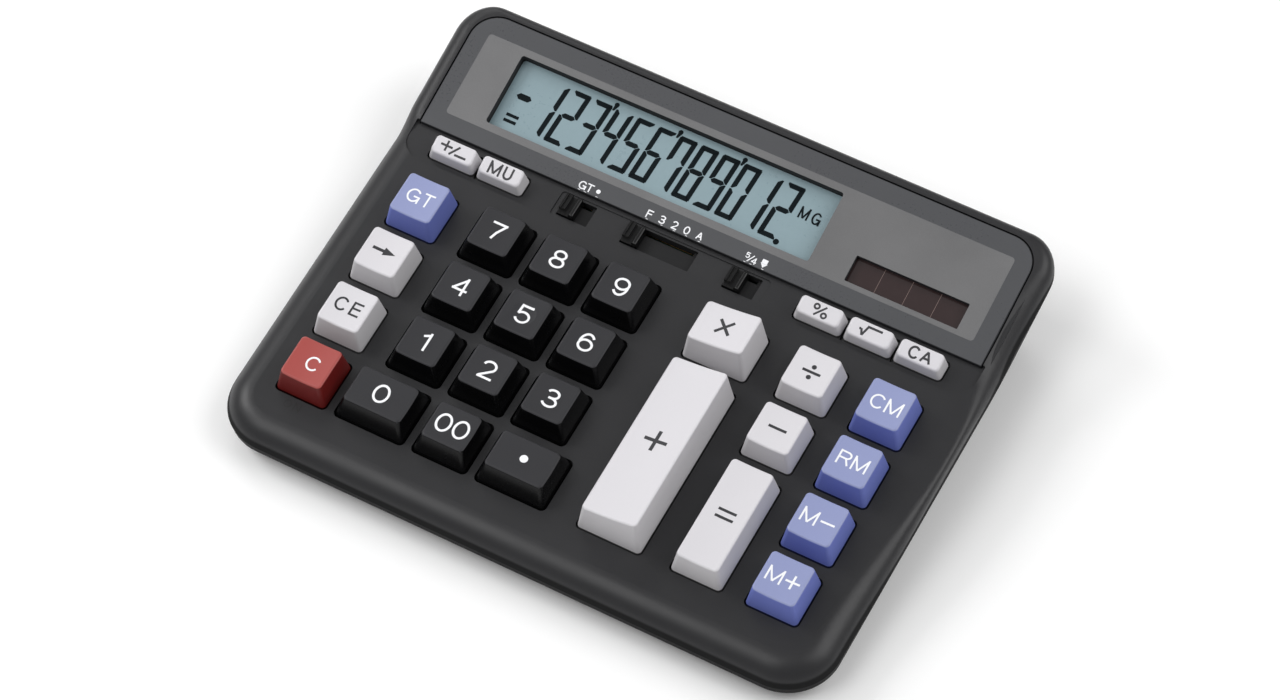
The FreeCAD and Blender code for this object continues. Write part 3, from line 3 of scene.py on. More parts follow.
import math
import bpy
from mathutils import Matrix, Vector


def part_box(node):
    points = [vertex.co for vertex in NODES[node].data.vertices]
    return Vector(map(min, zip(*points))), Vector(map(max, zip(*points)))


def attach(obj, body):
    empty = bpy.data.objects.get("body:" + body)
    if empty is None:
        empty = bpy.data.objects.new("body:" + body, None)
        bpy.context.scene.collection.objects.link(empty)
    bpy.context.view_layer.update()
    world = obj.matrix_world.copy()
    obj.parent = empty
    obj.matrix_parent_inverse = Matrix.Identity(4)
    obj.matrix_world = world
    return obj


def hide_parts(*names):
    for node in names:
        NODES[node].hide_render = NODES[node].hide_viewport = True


bl_info = {
    "name": "Desktop Calculator",
    "version": (1, 0, 0),
    "blender": (4, 5, 0),
    "location": "3D View > Sidebar > Calculator",
    "description": "Builds the keys, legends, display and finishes of a desktop calculator",
    "category": "Add Mesh",
}

from collections import namedtuple

import bmesh
import bpy
from bpy.props import FloatProperty, FloatVectorProperty, PointerProperty
from mathutils import Matrix, Vector

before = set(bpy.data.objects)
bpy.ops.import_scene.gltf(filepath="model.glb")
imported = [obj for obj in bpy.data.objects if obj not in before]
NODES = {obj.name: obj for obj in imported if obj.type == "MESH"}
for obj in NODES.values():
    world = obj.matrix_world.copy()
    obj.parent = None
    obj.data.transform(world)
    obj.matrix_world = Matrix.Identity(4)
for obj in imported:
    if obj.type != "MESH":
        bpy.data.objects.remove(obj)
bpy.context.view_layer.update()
MM = 0.001


def length(name, text, millimetres):
    """A size property, given in millimetres."""
    return FloatProperty(name=name, description=text, default=millimetres * MM, unit="LENGTH",
                         subtype="DISTANCE", precision=5)


def sides(name, text, *millimetres):
    """Left, right, front and rear side of a rectangle, given in millimetres."""
    return FloatVectorProperty(name=name, description=text + ": left, right, front, rear", size=4,
                               default=[side * MM for side in millimetres], unit="LENGTH", precision=5)


def tilt(name, text, degrees):
    """An angle property, given in degrees."""
    return FloatProperty(name=name, description=text, default=math.radians(degrees),
                         unit="ROTATION", subtype="ANGLE")


def paint(name, text, red, green, blue):
    """A colour property, given as it looks on a screen, from 0 to 255."""
    return FloatVectorProperty(name=name, description=text, size=3, min=0, max=1,
                               default=[linear(part) for part in (red, green, blue)], subtype="COLOR")


def power(name, text, watts):
    """The power of a lamp."""
    return FloatProperty(name=name, description=text, default=watts, unit="POWER")


def linear(part):
    """One colour channel from its screen value of 0 to 255."""
    share = part / 255
    if share <= 0.04045:
        return share / 12.92
    return ((share + 0.055) / 1.055) ** 2.4


class CalculatorBody(bpy.types.PropertyGroup):
    """Where the keyboard and the display lie, where painted shade darkens the case, and the colours of the
    mouldings.
    """

    desk_tilt: tilt("Desk tilt", "Slope of the keyboard to the desk", 5.0)
    display_tilt: tilt("Display tilt", "Slope of the display to the keyboard", 10.2)
    front_height: length("Front height", "Height of the keyboard's front edge", 13.5)
    fold: length("Fold", "Front edge to the start of the display", 105.3)
    front_foot: length("Front foot", "Front edge to a front foot's near side", 12.0)
    band_drop: length("Band drop", "Depth of the band with the small keys", 1.0)
    # Foot top, foot blend, tray top and inside half width place the painted shade on the case's foot and in
    # its trays and openings.
    foot_top: length("Foot top", "Depth at which the case's dark foot begins", 3.6)
    foot_blend: length("Foot blend", "Height over which the case darkens", 1.0)
    tray_top: length("Tray top", "Depth at which the switch trays and key openings darken", 1.1)
    inside_half: length("Inside half width", "Half the width of the field of openings and trays", 79.0)
    glass_drop: length("Glass drop", "Depth of the display glass under the plate", 3.2)
    case_colour: paint("Case colour", "Charcoal of the upper case", 36, 36, 38)
    base_colour: paint("Base colour", "Near black of the lower case", 12, 12, 13)
    knob_colour: paint("Knob colour", "Black of the switch knobs", 10, 10, 11)
    foot_colour: paint("Foot colour", "Gray of the rubber feet", 70, 70, 72)


class CalculatorKeys(bpy.types.PropertyGroup):
    """Layout and shape of the key caps."""

    row_front: length("First row", "Front of the first row of keys", 15.7)
    row_pitch: length("Row pitch", "From row to row", 19.0)
    number_middle: length("Number block", "Middle of the number keys", -27.95)
    number_pitch: length("Number pitch", "From number column to number column", 19.0)
    edge_column: length("Edge column", "From the middle to the outer columns", 70.05)
    operator_column: length("Operator column", "Place of the operator keys", 48.25)
    sum_column: length("Sum column", "Place of the plus key", 22.75)
    small_front: length("Small row", "Front of the small keys", 96.8)
    small_pitch: length("Small pitch", "From small key to small key", 14.8)
    small_left: length("Small left", "Left side of the small keys", -78.0)
    small_right: length("Small right", "Right side of the small keys", 77.3)
    flange: length("Flange", "Width of the flange that holds a key under the case", 1.0)
    skirt: length("Skirt", "Depth of the flange under the keyboard", 3.15)
    corner: length("Corner", "Round of a cap's upright edges", 1.2)
    brow: length("Brow", "Round of a cap's top edges", 0.55)
    black_top: paint("Black top", "Matte tops of the number keys", 44, 44, 47)
    black_side: paint("Black side", "Glossy sides of the number keys", 9, 9, 10)
    # The white, blue and red caps are each one plastic: their top colours are lighter by a painted sheen,
    # their side colours darker by painted shade.
    white: paint("White", "Tops of the white keys", 212, 210, 214)
    white_side: paint("White side", "Sides of the white keys", 206, 204, 207)
    blue: paint("Blue", "Tops of the blue keys", 141, 149, 190)
    blue_side: paint("Blue side", "Sides of the blue keys", 106, 118, 190)
    red: paint("Red", "Top of the red key", 162, 70, 65)
    red_side: paint("Red side", "Sides of the red key", 104, 22, 20)
    light_print: paint("Light print", "Legends on dark and coloured keys", 240, 241, 244)
    dark_print: paint("Dark print", "Legends on white keys", 40, 40, 44)


class CalculatorDisplay(bpy.types.PropertyGroup):
    """Sizes and colours of the display plate and of what shows through it."""

    plate_width: length("Plate width", "Width of the display plate", 170.4)
    plate_depth: length("Plate depth", "Depth of the display plate", 36.9)
    plate_thick: length("Plate thickness", "Thickness of the display plate", 1.6)
    plate_corner: length("Plate corner", "Round of the plate's rear corners", 8.0)
    field: sides("Field", "Sides of the printed field", -80.1, 80.1, 5.25, 31.1)
    window: sides("Window", "Sides of the display window", -68.7, 30.2, 7.4, 29.0)
    solar: sides("Solar window", "Sides of the solar window", 41.4, 74.8, 6.7, 14.5)
    digit_pitch: length("Digit pitch", "From digit to digit", 6.58)
    digit_left: length("First digit", "Middle of the first digit", -56.8)
    digit_foot: length("Digit foot", "Bottom of the digits", 10.15)
    digit_height: length("Digit height", "Height of the digits", 16.75)
    digit_width: length("Digit width", "Width of the digits", 5.4)
    stroke: length("Stroke", "Thickness of a digit's strokes", 1.45)
    waist: FloatProperty(name="Waist", description="Share of a digit's height under its middle bar",
                         default=0.52, subtype="FACTOR")
    slant: tilt("Slant", "Lean of the digits", 4.4)
    border_colour: paint("Border colour", "Smoked border of the plate", 72, 73, 76)
    field_colour: paint("Field colour", "Metallic field round the windows", 110, 110, 111)
    glass_colour: paint("Glass colour", "Resting colour of the display", 136, 157, 164)
    digit_colour: paint("Digit colour", "Switched segments", 6, 16, 20)
    solar_colour: paint("Solar colour", "Solar cells", 48, 34, 34)


class CalculatorStage(bpy.types.PropertyGroup):
    """Camera and studio light."""

    lens: FloatProperty(name="Lens", description="Focal length", default=126.45, unit="CAMERA")
    across: length("Across", "Camera to the right of the middle", 337.1)
    along: length("Along", "Camera in front of the keyboard's front edge", -426.4)
    above: length("Above", "Camera above the keyboard, square to it", 1024.2)
    key_power: power("Key light", "Power of the main light", 6.0)
    fill_power: power("Rear light", "Power of the rear light", 3.0)
    low_power: power("Low light", "Power of the light from the left", 4.6)
    side_power: power("Side light", "Power of the light from the right", 6.8)
    sky: FloatProperty(name="Sky", description="Strength of the room's even light", default=0.36)


GROUPS = {"calculator_body": CalculatorBody, "calculator_keys": CalculatorKeys,
          "calculator_display": CalculatorDisplay, "calculator_stage": CalculatorStage}


def panel_frame():
    """Matrix of the keyboard surface, from the middle of its front edge."""
    body = bpy.context.scene.calculator_body
    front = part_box("rubber_feet")[0].y - body.front_foot
    return Matrix.Translation((0, front, body.front_height)) @ Matrix.Rotation(body.desk_tilt, 4, "X")


def display_frame():
    """Matrix of the display surface, from its front edge."""
    body = bpy.context.scene.calculator_body
    fold = Matrix.Translation((0, body.fold, 0))
    return panel_frame() @ fold @ Matrix.Rotation(body.display_tilt, 4, "X")


# Modelling by operators


def alone(thing):
    """Select one object and make it active."""
    bpy.ops.object.select_all(action="DESELECT")
    thing.select_set(True)
    bpy.context.view_layer.objects.active = thing


def settle(thing):
    """Put an object's place, turn and size into its mesh."""
    alone(thing)
    bpy.ops.object.transform_apply(location=True, rotation=True, scale=True)


def place(matrix, *things):
    """Set finished shapes into the model and keep the place in their meshes."""
    for thing in things:
        thing.matrix_world = matrix
        settle(thing)


def added(scale=(1, 1, 1)):
    """The shape that an operator has just added, with its size in its mesh."""
    thing = bpy.context.object
    thing.scale = scale
    settle(thing)
    return thing


def block(name, low, high):
    """A cuboid between two corners, ready to be shaped."""
    bpy.ops.mesh.primitive_cube_add(size=1, location=[(a + b) / 2 for a, b in zip(low, high)])
    thing = added([b - a for a, b in zip(low, high)])
    thing.name = name
    return thing


def pick(thing, kind, test):
    """In edit mode, select only the faces, edges or points that pass a test."""
    bpy.ops.mesh.select_all(action="DESELECT")
    bpy.ops.mesh.select_mode(type=kind)
    mesh = bmesh.from_edit_mesh(thing.data)
    for part in {"FACE": mesh.faces, "EDGE": mesh.edges, "VERT": mesh.verts}[kind]:
        part.select_set(test(part))
    mesh.select_flush_mode()
    bmesh.update_edit_mesh(thing.data)


def edit(thing):
    """Go into edit mode on one object."""
    alone(thing)
    bpy.ops.object.mode_set(mode="EDIT")


def leave():
    """Back to object mode."""
    bpy.ops.object.mode_set(mode="OBJECT")


def upright(edge, above=-1.0):
    """True for an edge that rises, and starts above a height."""
    low, high = sorted((edge.verts[0].co, edge.verts[1].co), key=lambda co: co.z)
    run = math.hypot(high.x - low.x, high.y - low.y)
    return high.z - low.z > run * 1.2 and low.z > above


def finish_shading(thing, degrees=32):
    """Smooth curved faces, keep flat ones flat and real edges sharp."""
    alone(thing)
    bpy.ops.object.shade_smooth_by_angle(angle=math.radians(degrees))
    even = thing.modifiers.new("Even", "WEIGHTED_NORMAL")
    even.keep_sharp = True
    bpy.ops.object.modifier_apply(modifier=even.name)


def soften(offset, segments=1, affect="EDGES"):
    """Round the picked edges or cut the picked corners."""
    bpy.ops.mesh.bevel(offset=offset, offset_type="OFFSET", segments=segments, affect=affect,
                       clamp_overlap=False)


def cut_away(thing, cutter, operation="DIFFERENCE"):
    """Take one shape out of another, or fuse it on, and delete it."""
    alone(thing)
    carve = thing.modifiers.new("Carve", "BOOLEAN")
    carve.operation = operation
    carve.solver = "EXACT"
    carve.object = cutter
    bpy.ops.object.modifier_apply(modifier=carve.name)
    bpy.data.objects.remove(cutter)


def merged(name, parts):
    """Several shapes as one object."""
    alone(parts[0])
    for part in parts:
        part.select_set(True)
    bpy.ops.object.join()
    parts[0].name = name
    return parts[0]


def twin(thing, name):
    """A copy with a mesh of its own."""
    other = thing.copy()
    other.data = thing.data.copy()
    other.name = name
    bpy.context.scene.collection.objects.link(other)
    return other


def wear(thing, *finishes):
    """Give an object its materials, in slot order."""
    thing.data.materials.clear()
    for finish in finishes:
        thing.data.materials.append(finish)


def hand_over(thing, body, slot, *stands_for):
    """Let a finished piece ride on its body."""
    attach(thing, body)
    if stands_for:
        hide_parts(*stands_for)


# Materials

BUMP = 0.35
UNEVENNESS = 0.12
# Painted shade: share of the case's colour that is left on its foot, and in its trays and openings
FOOT_SHADED_SHARE = 0.2
TRAY_SHADED_SHARE = 0.45


def new_group(name, inputs, outputs):
    """A shader node group with named inputs, and its inputs' and outputs' sockets. None is a vector."""
    group = bpy.data.node_groups.new(name, "ShaderNodeTree")
    for label, value in inputs.items():
        kind = "Vector" if value is None else "Color" if isinstance(value, tuple) else "Float"
        socket = group.interface.new_socket(label, in_out="INPUT", socket_type="NodeSocket" + kind)
        if value is not None:
            socket.default_value = value
    for label in outputs:
        kind = "Color" if label == "Colour" else "Float"
        group.interface.new_socket(label, in_out="OUTPUT", socket_type="NodeSocket" + kind)
    return group, group.nodes.new("NodeGroupInput").outputs, group.nodes.new("NodeGroupOutput").inputs


def add_node(tree, kind, inputs, **settings):
    """A shader node with its settings, and with plain values or other nodes' sockets on its inputs."""
    node = tree.nodes.new("ShaderNode" + kind)
    for name, value in settings.items():
        setattr(node, name, value)
    for label, value in inputs.items():
        if isinstance(value, bpy.types.NodeSocket):
            tree.links.new(value, node.inputs[label])
        else:
            node.inputs[label].default_value = value
    return node


def add_sum(tree, operation, *values, clamp=False):
    """The result of one sum on plain values or sockets."""
    return add_node(tree, "Math", dict(enumerate(values)), operation=operation, use_clamp=clamp).outputs[0]


def add_tone(tree, colour, share):
    """A colour made lighter or darker by a share."""
    return add_node(tree, "VectorMath", {0: colour, "Scale": share}, operation="SCALE").outputs[0]


def moulded_surface():
    """Node group: the fine grain and slight unevenness of moulded plastic."""
    if "Moulded surface" in bpy.data.node_groups:
        return bpy.data.node_groups["Moulded surface"]
    group, given, out = new_group(
        "Moulded surface", {"Place": None, "Colour": (0.5, 0.5, 0.5, 1), "Roughness": 0.4,
                            "Grain size": 3000.0, "Mottle": 0.1, "Unevenness": 0.1},
        ("Colour", "Roughness", "Height"))
    grain, cloud = (add_node(group, "TexNoise", {"Vector": given["Place"], **inputs}).outputs["Fac"]
                    for inputs in ({"Scale": given["Grain size"], "Detail": 2.0, "Roughness": 0.6},
                                   {"Scale": 45.0, "Detail": 3.0}))
    centred = add_sum(group, "SUBTRACT", add_sum(group, "ADD", grain, cloud), 1.0)
    tone = add_sum(group, "MULTIPLY_ADD", centred, given["Mottle"], 1.0)
    gloss = add_sum(group, "MULTIPLY_ADD", centred, given["Unevenness"], given["Roughness"], clamp=True)
    group.links.new(add_tone(group, given["Colour"], tone), out["Colour"])
    group.links.new(gloss, out["Roughness"])
    group.links.new(grain, out["Height"])
    return group


def plastic(name, colour, roughness, grain=3000.0, mottle=0.1, relief=0.01, coat=0.0, metal=0.0,
            specular=0.5, coat_roughness=0.1):
    """A moulded or painted finish with grain, mottling and uneven gloss."""
    material = bpy.data.materials.new(name)
    material.use_nodes = True
    tree = material.node_tree
    place_node = add_node(tree, "TexCoord", {}, name="Place")
    mapping = add_node(tree, "Mapping", {"Vector": place_node.outputs["Object"]})
    surface = add_node(tree, "Group", {
        "Place": mapping.outputs["Vector"], "Colour": (*colour, 1), "Roughness": roughness,
        "Grain size": grain, "Mottle": mottle, "Unevenness": UNEVENNESS,
    }, name="Surface", node_tree=moulded_surface()).outputs
    bump = add_node(tree, "Bump", {"Strength": BUMP, "Distance": relief * MM, "Height": surface["Height"]})
    shader = tree.nodes["Principled BSDF"].inputs
    tree.links.new(surface["Colour"], shader["Base Color"])
    tree.links.new(surface["Roughness"], shader["Roughness"])
    tree.links.new(bump.outputs["Normal"], shader["Normal"])
    shader["Metallic"].default_value = metal
    shader["Specular IOR Level"].default_value = specular
    shader["Coat Weight"].default_value = coat
    shader["Coat Roughness"].default_value = coat_roughness
    return material


def paint_foot_shade(material):
    """Paint shade on the upright foot of the case under its soft shoulder, and in its trays and openings, and
    take its shine away.
    """
    tree = material.node_tree
    surface = tree.nodes["Surface"].inputs
    inputs = {label: surface[label].default_value for label in ("Colour", "Roughness")}
    for label, plane in (("Keyboard", panel_frame()), ("Display", display_frame())):
        back = plane.inverted()
        turned = add_node(tree, "Mapping", {"Vector": tree.nodes["Place"].outputs["Object"],
                                            "Location": back.to_translation(), "Rotation": back.to_euler()})
        inputs[label] = turned.outputs["Vector"]
    foot = add_node(tree, "Group", inputs, node_tree=painted_foot_shade())
    for label in ("Colour", "Roughness"):
        tree.links.new(foot.outputs[label], surface[label])


def painted_foot_shade():
    """Node group: painted shade, a darker and duller colour below a level under the keyboard and the display.
    """
    body = bpy.context.scene.calculator_body
    group, given, out = new_group(
        "Foot shadow", {"Keyboard": None, "Display": None, "Colour": (0.1, 0.1, 0.1, 1), "Roughness": 0.4},
        ("Colour", "Roughness"))
    keyboard, display = (add_node(group, "SeparateXYZ", {0: given[label]}).outputs
                         for label in ("Keyboard", "Display"))
    across = add_sum(group, "LESS_THAN", add_sum(group, "ABSOLUTE", keyboard["X"]), body.inside_half)
    behind = add_sum(group, "GREATER_THAN", keyboard["Y"], body.front_foot)
    inside = add_sum(group, "MULTIPLY", across, behind)
    limit = add_sum(group, "MULTIPLY_ADD", inside, body.foot_top - body.tray_top, -body.foot_top)
    depth = add_sum(group, "SUBTRACT", limit, add_sum(group, "MINIMUM", keyboard["Z"], display["Z"]))
    # Painted shade: the share of colour left, less on the foot than in the trays and openings
    dark = add_sum(group, "MULTIPLY_ADD", inside, TRAY_SHADED_SHARE - FOOT_SHADED_SHARE, FOOT_SHADED_SHARE)
    light = add_node(group, "MapRange", {
        "Value": add_sum(group, "DIVIDE", depth, body.foot_blend, clamp=True), "To Min": 1.0, "To Max": dark,
    }, interpolation_type="SMOOTHSTEP").outputs["Result"]
    dull = add_node(group, "MapRange", {"Value": light, "From Min": FOOT_SHADED_SHARE, "From Max": 1.0,
                                        "To Min": 1.0, "To Max": given["Roughness"]}).outputs["Result"]
    group.links.new(add_tone(group, given["Colour"], light), out["Colour"])
    group.links.new(dull, out["Roughness"])
    return group


# Keys, with sizes in millimetres

Cap = namedtuple("Cap", "width depth height side nose tail rise dish across small",
                 defaults=(True, False))
KINDS = {
    "number": Cap(15.9, 15.7, 6.1, 2.0, 2.3, 1.25, 0.0, 0.18),
    "double": Cap(15.9, 15.7, 6.1, 1.75, 2.7, 1.9, 0.0, 0.38, False),
    "wide": Cap(20.5, 15.7, 6.1, 1.75, 2.7, 1.9, 0.0, 0.38, False),
    "edge": Cap(14.9, 14.6, 7.4, 1.35, 1.5, 0.75, 0.0, 0.4),
    "operator": Cap(14.7, 14.6, 7.4, 1.35, 1.5, 0.75, 0.0, 0.4),
    "equals": Cap(14.7, 33.6, 7.4, 1.35, 1.5, 0.75, 0.0, 0.4),
    "times": Cap(18.7, 14.6, 10.4, 1.25, 1.5, 0.75, 3.0, 0.45),
    "plus": Cap(18.7, 52.6, 10.4, 1.25, 1.5, 0.75, 3.0, 0.45),
    "small": Cap(14.0, 6.0, 4.2, 0.82, 0.54, 0.76, 1.48, 0.15, True, True),
}
# Painted shade on a cap's skirt below the case's surface: share of its side colour
SKIRT_PAINTED_SHADE = 0.12
FLANGE_THICK = 1.0
# Hollow caps. Stems end below the keyboard and reach into the roof. Their places are given in rows.
CAP_WALL = 1.3
CAP_ROOF = 1.6
STEM_RADIUS = 2.0
STEM_END = 4.0
STEM_SUNK = 0.5
STEMS = {"equals": (-0.5, 0.5), "plus": (-1, 0, 1)}
# Dish of a cap's top. It has no facet's edge within the rim, and it runs out past the top.
RIM = 1.0
FACET = 1.2
RUN_OUT = 0.35
# Finger mark, made with a flattened ball just above the top
MARK_RADIUS = 3.75
MARK_LIFT = 0.05
MARK_FLATNESS = 0.14
LEFT_KEYS = ("clear", "clear_entry", "backspace", "grand_total")
RIGHT_KEYS = ("memory_plus", "memory_minus", "memory_recall", "memory_clear")


def key_places():
    """Every key as (name, kind, x, front)."""
    sizes = bpy.context.scene.calculator_keys
    rows = [sizes.row_front + n * sizes.row_pitch for n in range(4)]
    columns = [sizes.number_middle + n * sizes.number_pitch for n in (-1, 0, 1)]
    widen = (KINDS["wide"].width - KINDS["number"].width) * MM / 2
    half = KINDS["small"].width * MM / 2
    left, right = sizes.small_left + half, sizes.small_right - half - 2 * sizes.small_pitch
    found = [(str(n + 1), "number", columns[n % 3], rows[1 + n // 3]) for n in range(9)]
    found += [
        ("0", "wide", columns[0] - widen, rows[0]),
        ("double_zero", "double", columns[1], rows[0]),
        ("point", "wide", columns[2] + widen, rows[0]),
    ]
    for x, names in ((-sizes.edge_column, LEFT_KEYS), (sizes.edge_column, RIGHT_KEYS)):
        found += [(name, "edge", x, rows[n]) for n, name in enumerate(names)]
    found += [
        ("equals", "equals", sizes.operator_column, rows[0]),
        ("subtract", "operator", sizes.operator_column, rows[2]),
        ("divide", "operator", sizes.operator_column, rows[3]),
        ("add", "plus", sizes.sum_column, rows[0]),
        ("multiply", "times", sizes.sum_column, rows[3]),
    ]
    for x, names in ((left, ("sign", "markup")), (right, ("percent", "root", "clear_all"))):
        found += [(name, "small", x + n * sizes.small_pitch, sizes.small_front)
                  for n, name in enumerate(names)]
    return found


def cap_shape(kind):
    """Base height, top height, half width and half depth of a kind's top, and the top's middle in y."""
    cap = KINDS[kind]
    base = -bpy.context.scene.calculator_body.band_drop if cap.small else 0.0
    half_x = (cap.width / 2 - cap.side) * MM
    half_y = (cap.depth - cap.nose - cap.tail) / 2 * MM
    return base, base + cap.height * MM, half_x, half_y, (cap.nose - cap.tail) / 2 * MM


def dish_tool(kind):
    """A large cylinder that hollows a cap's top and runs out past it, with its facets kept off the rim."""
    cap = KINDS[kind]
    base, top, half_x, half_y, middle = cap_shape(kind)
    half, sink = half_x if cap.across else half_y, cap.dish * MM
    radius = ((half + RUN_OUT * MM) ** 2 + sink ** 2) / (2 * sink)
    inside = half - RIM * MM
    pitch = inside / int(inside / (FACET * MM))
    bpy.ops.mesh.primitive_cylinder_add(vertices=4 * round(math.pi * radius / pitch / 2), radius=radius,
                                        depth=0.2)
    tool = bpy.context.object
    if cap.small:
        slope = Matrix.Rotation(math.atan2(cap.rise * MM, 2 * half_y), 4, "X")
    else:
        slope = Matrix.Rotation(-math.atan2(cap.rise * MM, 2 * half_x), 4, "Y")
    lay = Matrix.Rotation(math.pi / 2, 4, "X" if cap.across else "Y")
    lift = Matrix.Translation((0, 0, radius - sink))
    place(Matrix.Translation((0, middle, top)) @ slope @ lift @ lay, tool)
    return tool


def extrude(rise, along=0.0):
    """Extrude the picked faces upwards, and along y where asked."""
    bpy.ops.mesh.extrude_region_move(TRANSFORM_OT_translate={"value": (0, along, rise)})


def narrow(share_x, share_y, middle=0.0):
    """Make the picked faces narrower about a point on the y axis."""
    bpy.ops.transform.resize(value=(share_x, share_y, 1), center_override=(0, middle, 0))


def flange_outline(cap):
    """Half the width and half the depth of a cap's flange."""
    flange = bpy.context.scene.calculator_keys.flange
    return cap.width * MM / 2 + (0.0 if cap.small else flange), cap.depth * MM / 2 + flange


def model_cap(kind):
    """One key cap about its own middle: flange, skirt, tapered body, dished top, round edges."""
    sizes = bpy.context.scene.calculator_keys
    cap = KINDS[kind]
    base, top, half_x, half_y, middle = cap_shape(kind)
    half_wide, half_deep = cap.width * MM / 2, cap.depth * MM / 2
    outer_x, outer_y = flange_outline(cap)
    brim = FLANGE_THICK * MM
    thing = block("shape_" + kind, (-outer_x, -outer_y, -sizes.skirt),
                  (outer_x, outer_y, brim - sizes.skirt))
    edit(thing)
    pick(thing, "FACE", lambda face: face.normal.z > 0.9)
    extrude(0)
    narrow(half_wide / outer_x, half_deep / outer_y)
    extrude(base + sizes.skirt - brim)
    extrude(top - base, middle)
    narrow(half_x / half_wide, half_y / half_deep, middle)
    if cap.rise:
        lift = cap.rise * MM / 2
        for way in (-1, 1):
            pick(thing, "VERT", lambda point: point.co.z > top - lift * 1.1
                 and ((point.co.y - middle) if cap.small else point.co.x) * way > 0)
            bpy.ops.transform.translate(value=(0, 0, lift * way))
    pick(thing, "EDGE", lambda edge: upright(edge, -sizes.skirt + brim / 2))
    soften(sizes.corner, 5)
    leave()
    cut_away(thing, dish_tool(kind))
    edit(thing)
    pick(thing, "EDGE", lambda edge: rim_of_top(edge, base + brim))
    soften(sizes.brow, 4)
    leave()
    hollow_cap(thing, kind)
    finish_shading(thing)
    return thing


def hollow_cap(thing, kind):
    """Open a cap from below, and set a stem over each dome."""
    sizes = bpy.context.scene.calculator_keys
    cap = KINDS[kind]
    base, top, half_x, half_y, middle = cap_shape(kind)
    outer_x, outer_y = flange_outline(cap)
    wall = CAP_WALL * MM
    ceiling = top - (cap.rise / 2 + CAP_ROOF) * MM
    mouth_x, mouth_y = cap.width / 2 * MM - wall, cap.depth / 2 * MM - wall
    edit(thing)
    pick(thing, "FACE", lambda face: face.normal.z < -0.9 and face.verts[0].co.z < 0.1 * MM - sizes.skirt)
    extrude(0)
    narrow(mouth_x / outer_x, mouth_y / outer_y)
    extrude(ceiling + sizes.skirt, middle)
    narrow((half_x - wall) / mouth_x, (half_y - wall) / mouth_y, middle)
    leave()
    low, high = -STEM_END * MM, ceiling + STEM_SUNK * MM
    for along in STEMS.get(kind, (0,)):
        bpy.ops.mesh.primitive_cylinder_add(vertices=32, radius=STEM_RADIUS * MM, depth=high - low,
                                            location=(0, along * sizes.row_pitch, (low + high) / 2))
        cut_away(thing, added(), "UNION")


def rim_of_top(edge, above):
    """True for an edge where a cap's top meets its walls."""
    if len(edge.link_faces) != 2 or min(point.co.z for point in edge.verts) < above:
        return False
    low, high = sorted(face.normal.z for face in edge.link_faces)
    return high > 0.85 and low < 0.6


# Printed signs

# Each sign is drawn in a box of 100 by 100 about its middle: straight lines (x0, y0, x1, y1), and arcs
# (x, y, half width, half height, first angle, last angle) with angles in degrees from the right.
LEFT, RIGHT = (-50, -50, -50, 50), (50, -50, 50, 50)
TOP, BAR = (-50, 50, 50, 50), (-50, 0, 50, 0)
ROUND = (0, 0, 50, 50, 0, 360)
SIGNS = {
    "0": ((), (ROUND,)),
    "1": (((50, -50, 50, 50), (-50, 26, 42, 42)), ()),
    "2": (((-46, -50, 50, -50), (42, 5, -44, -46)), ((0, 20, 47, 30, -30, 168),)),
    "3": (((-14, 2, 8, 2),), ((0, 26, 43, 24, -90, 160), (0, -24, 50, 26, -162, 90))),
    "4": (((27, -50, 27, 50), (-50, -22, 50, -22), (25, 46, -46, -18)), ()),
    "5": (((-34, 50, 42, 50), (-36, 50, -42, -2)), ((0, -18, 50, 32, -158, 147),)),
    "6": ((), ((0, -18, 50, 32, 0, 360), (0, 0, 50, 50, 38, 188))),
    "7": ((TOP, (47, 47, 3, -8), (6, -2, -15, -50)), ()),
    "8": ((), ((0, 26, 41, 24, 0, 360), (0, -23, 50, 27, 0, 360))),
    "9": ((), ((0, 18, 50, 32, 0, 360), (0, 0, 50, 50, -142, 8))),
    "A": (((-50, -50, 0, 50), (0, 50, 50, -50), (-28, -15, 28, -15)), ()),
    "C": ((), ((0, 0, 50, 50, 36, 324),)),
    "E": ((LEFT, TOP, (-50, 3, 42, 3), (-50, -50, 50, -50)), ()),
    "F": ((LEFT, TOP, (-50, 3, 40, 3)), ()),
    "G": (((10, -6, 50, -6), (50, -6, 50, -50)), ((0, 0, 50, 50, 36, 335),)),
    "M": ((LEFT, RIGHT, (-50, 50, 0, -50), (0, -50, 50, 50)), ()),
    "N": ((LEFT, RIGHT, (-50, 50, 50, -50)), ()),
    "R": ((LEFT, (-50, 50, 12, 50), (-50, 0, 12, 0), (15, 0, 50, -50)), ((12, 25, 36, 25, -90, 90),)),
    "T": ((TOP, (0, -50, 0, 50)), ()),
    "U": (((-50, 50, -50, -12), (50, 50, 50, -12)), ((0, -12, 50, 38, 180, 360),)),
    "%": (((-34, -50, 34, 50),), ((-33, 28, 17, 21, 0, 360), (33, -28, 17, 21, 0, 360))),
    "/": (((-50, -50, 50, 50),), ()),
    "x": (((-50, -50, 50, 50), (-50, 50, 50, -50)), ()),
    "-": ((BAR,), ()),
    "+": ((BAR, (0, -50, 0, 50)), ()),
    "root": (((-50, 3, -42, 10), (-41, 12, -29, -50), (-29, -50, -13, 50), (-13, 50, 50, 50)), ()),
}
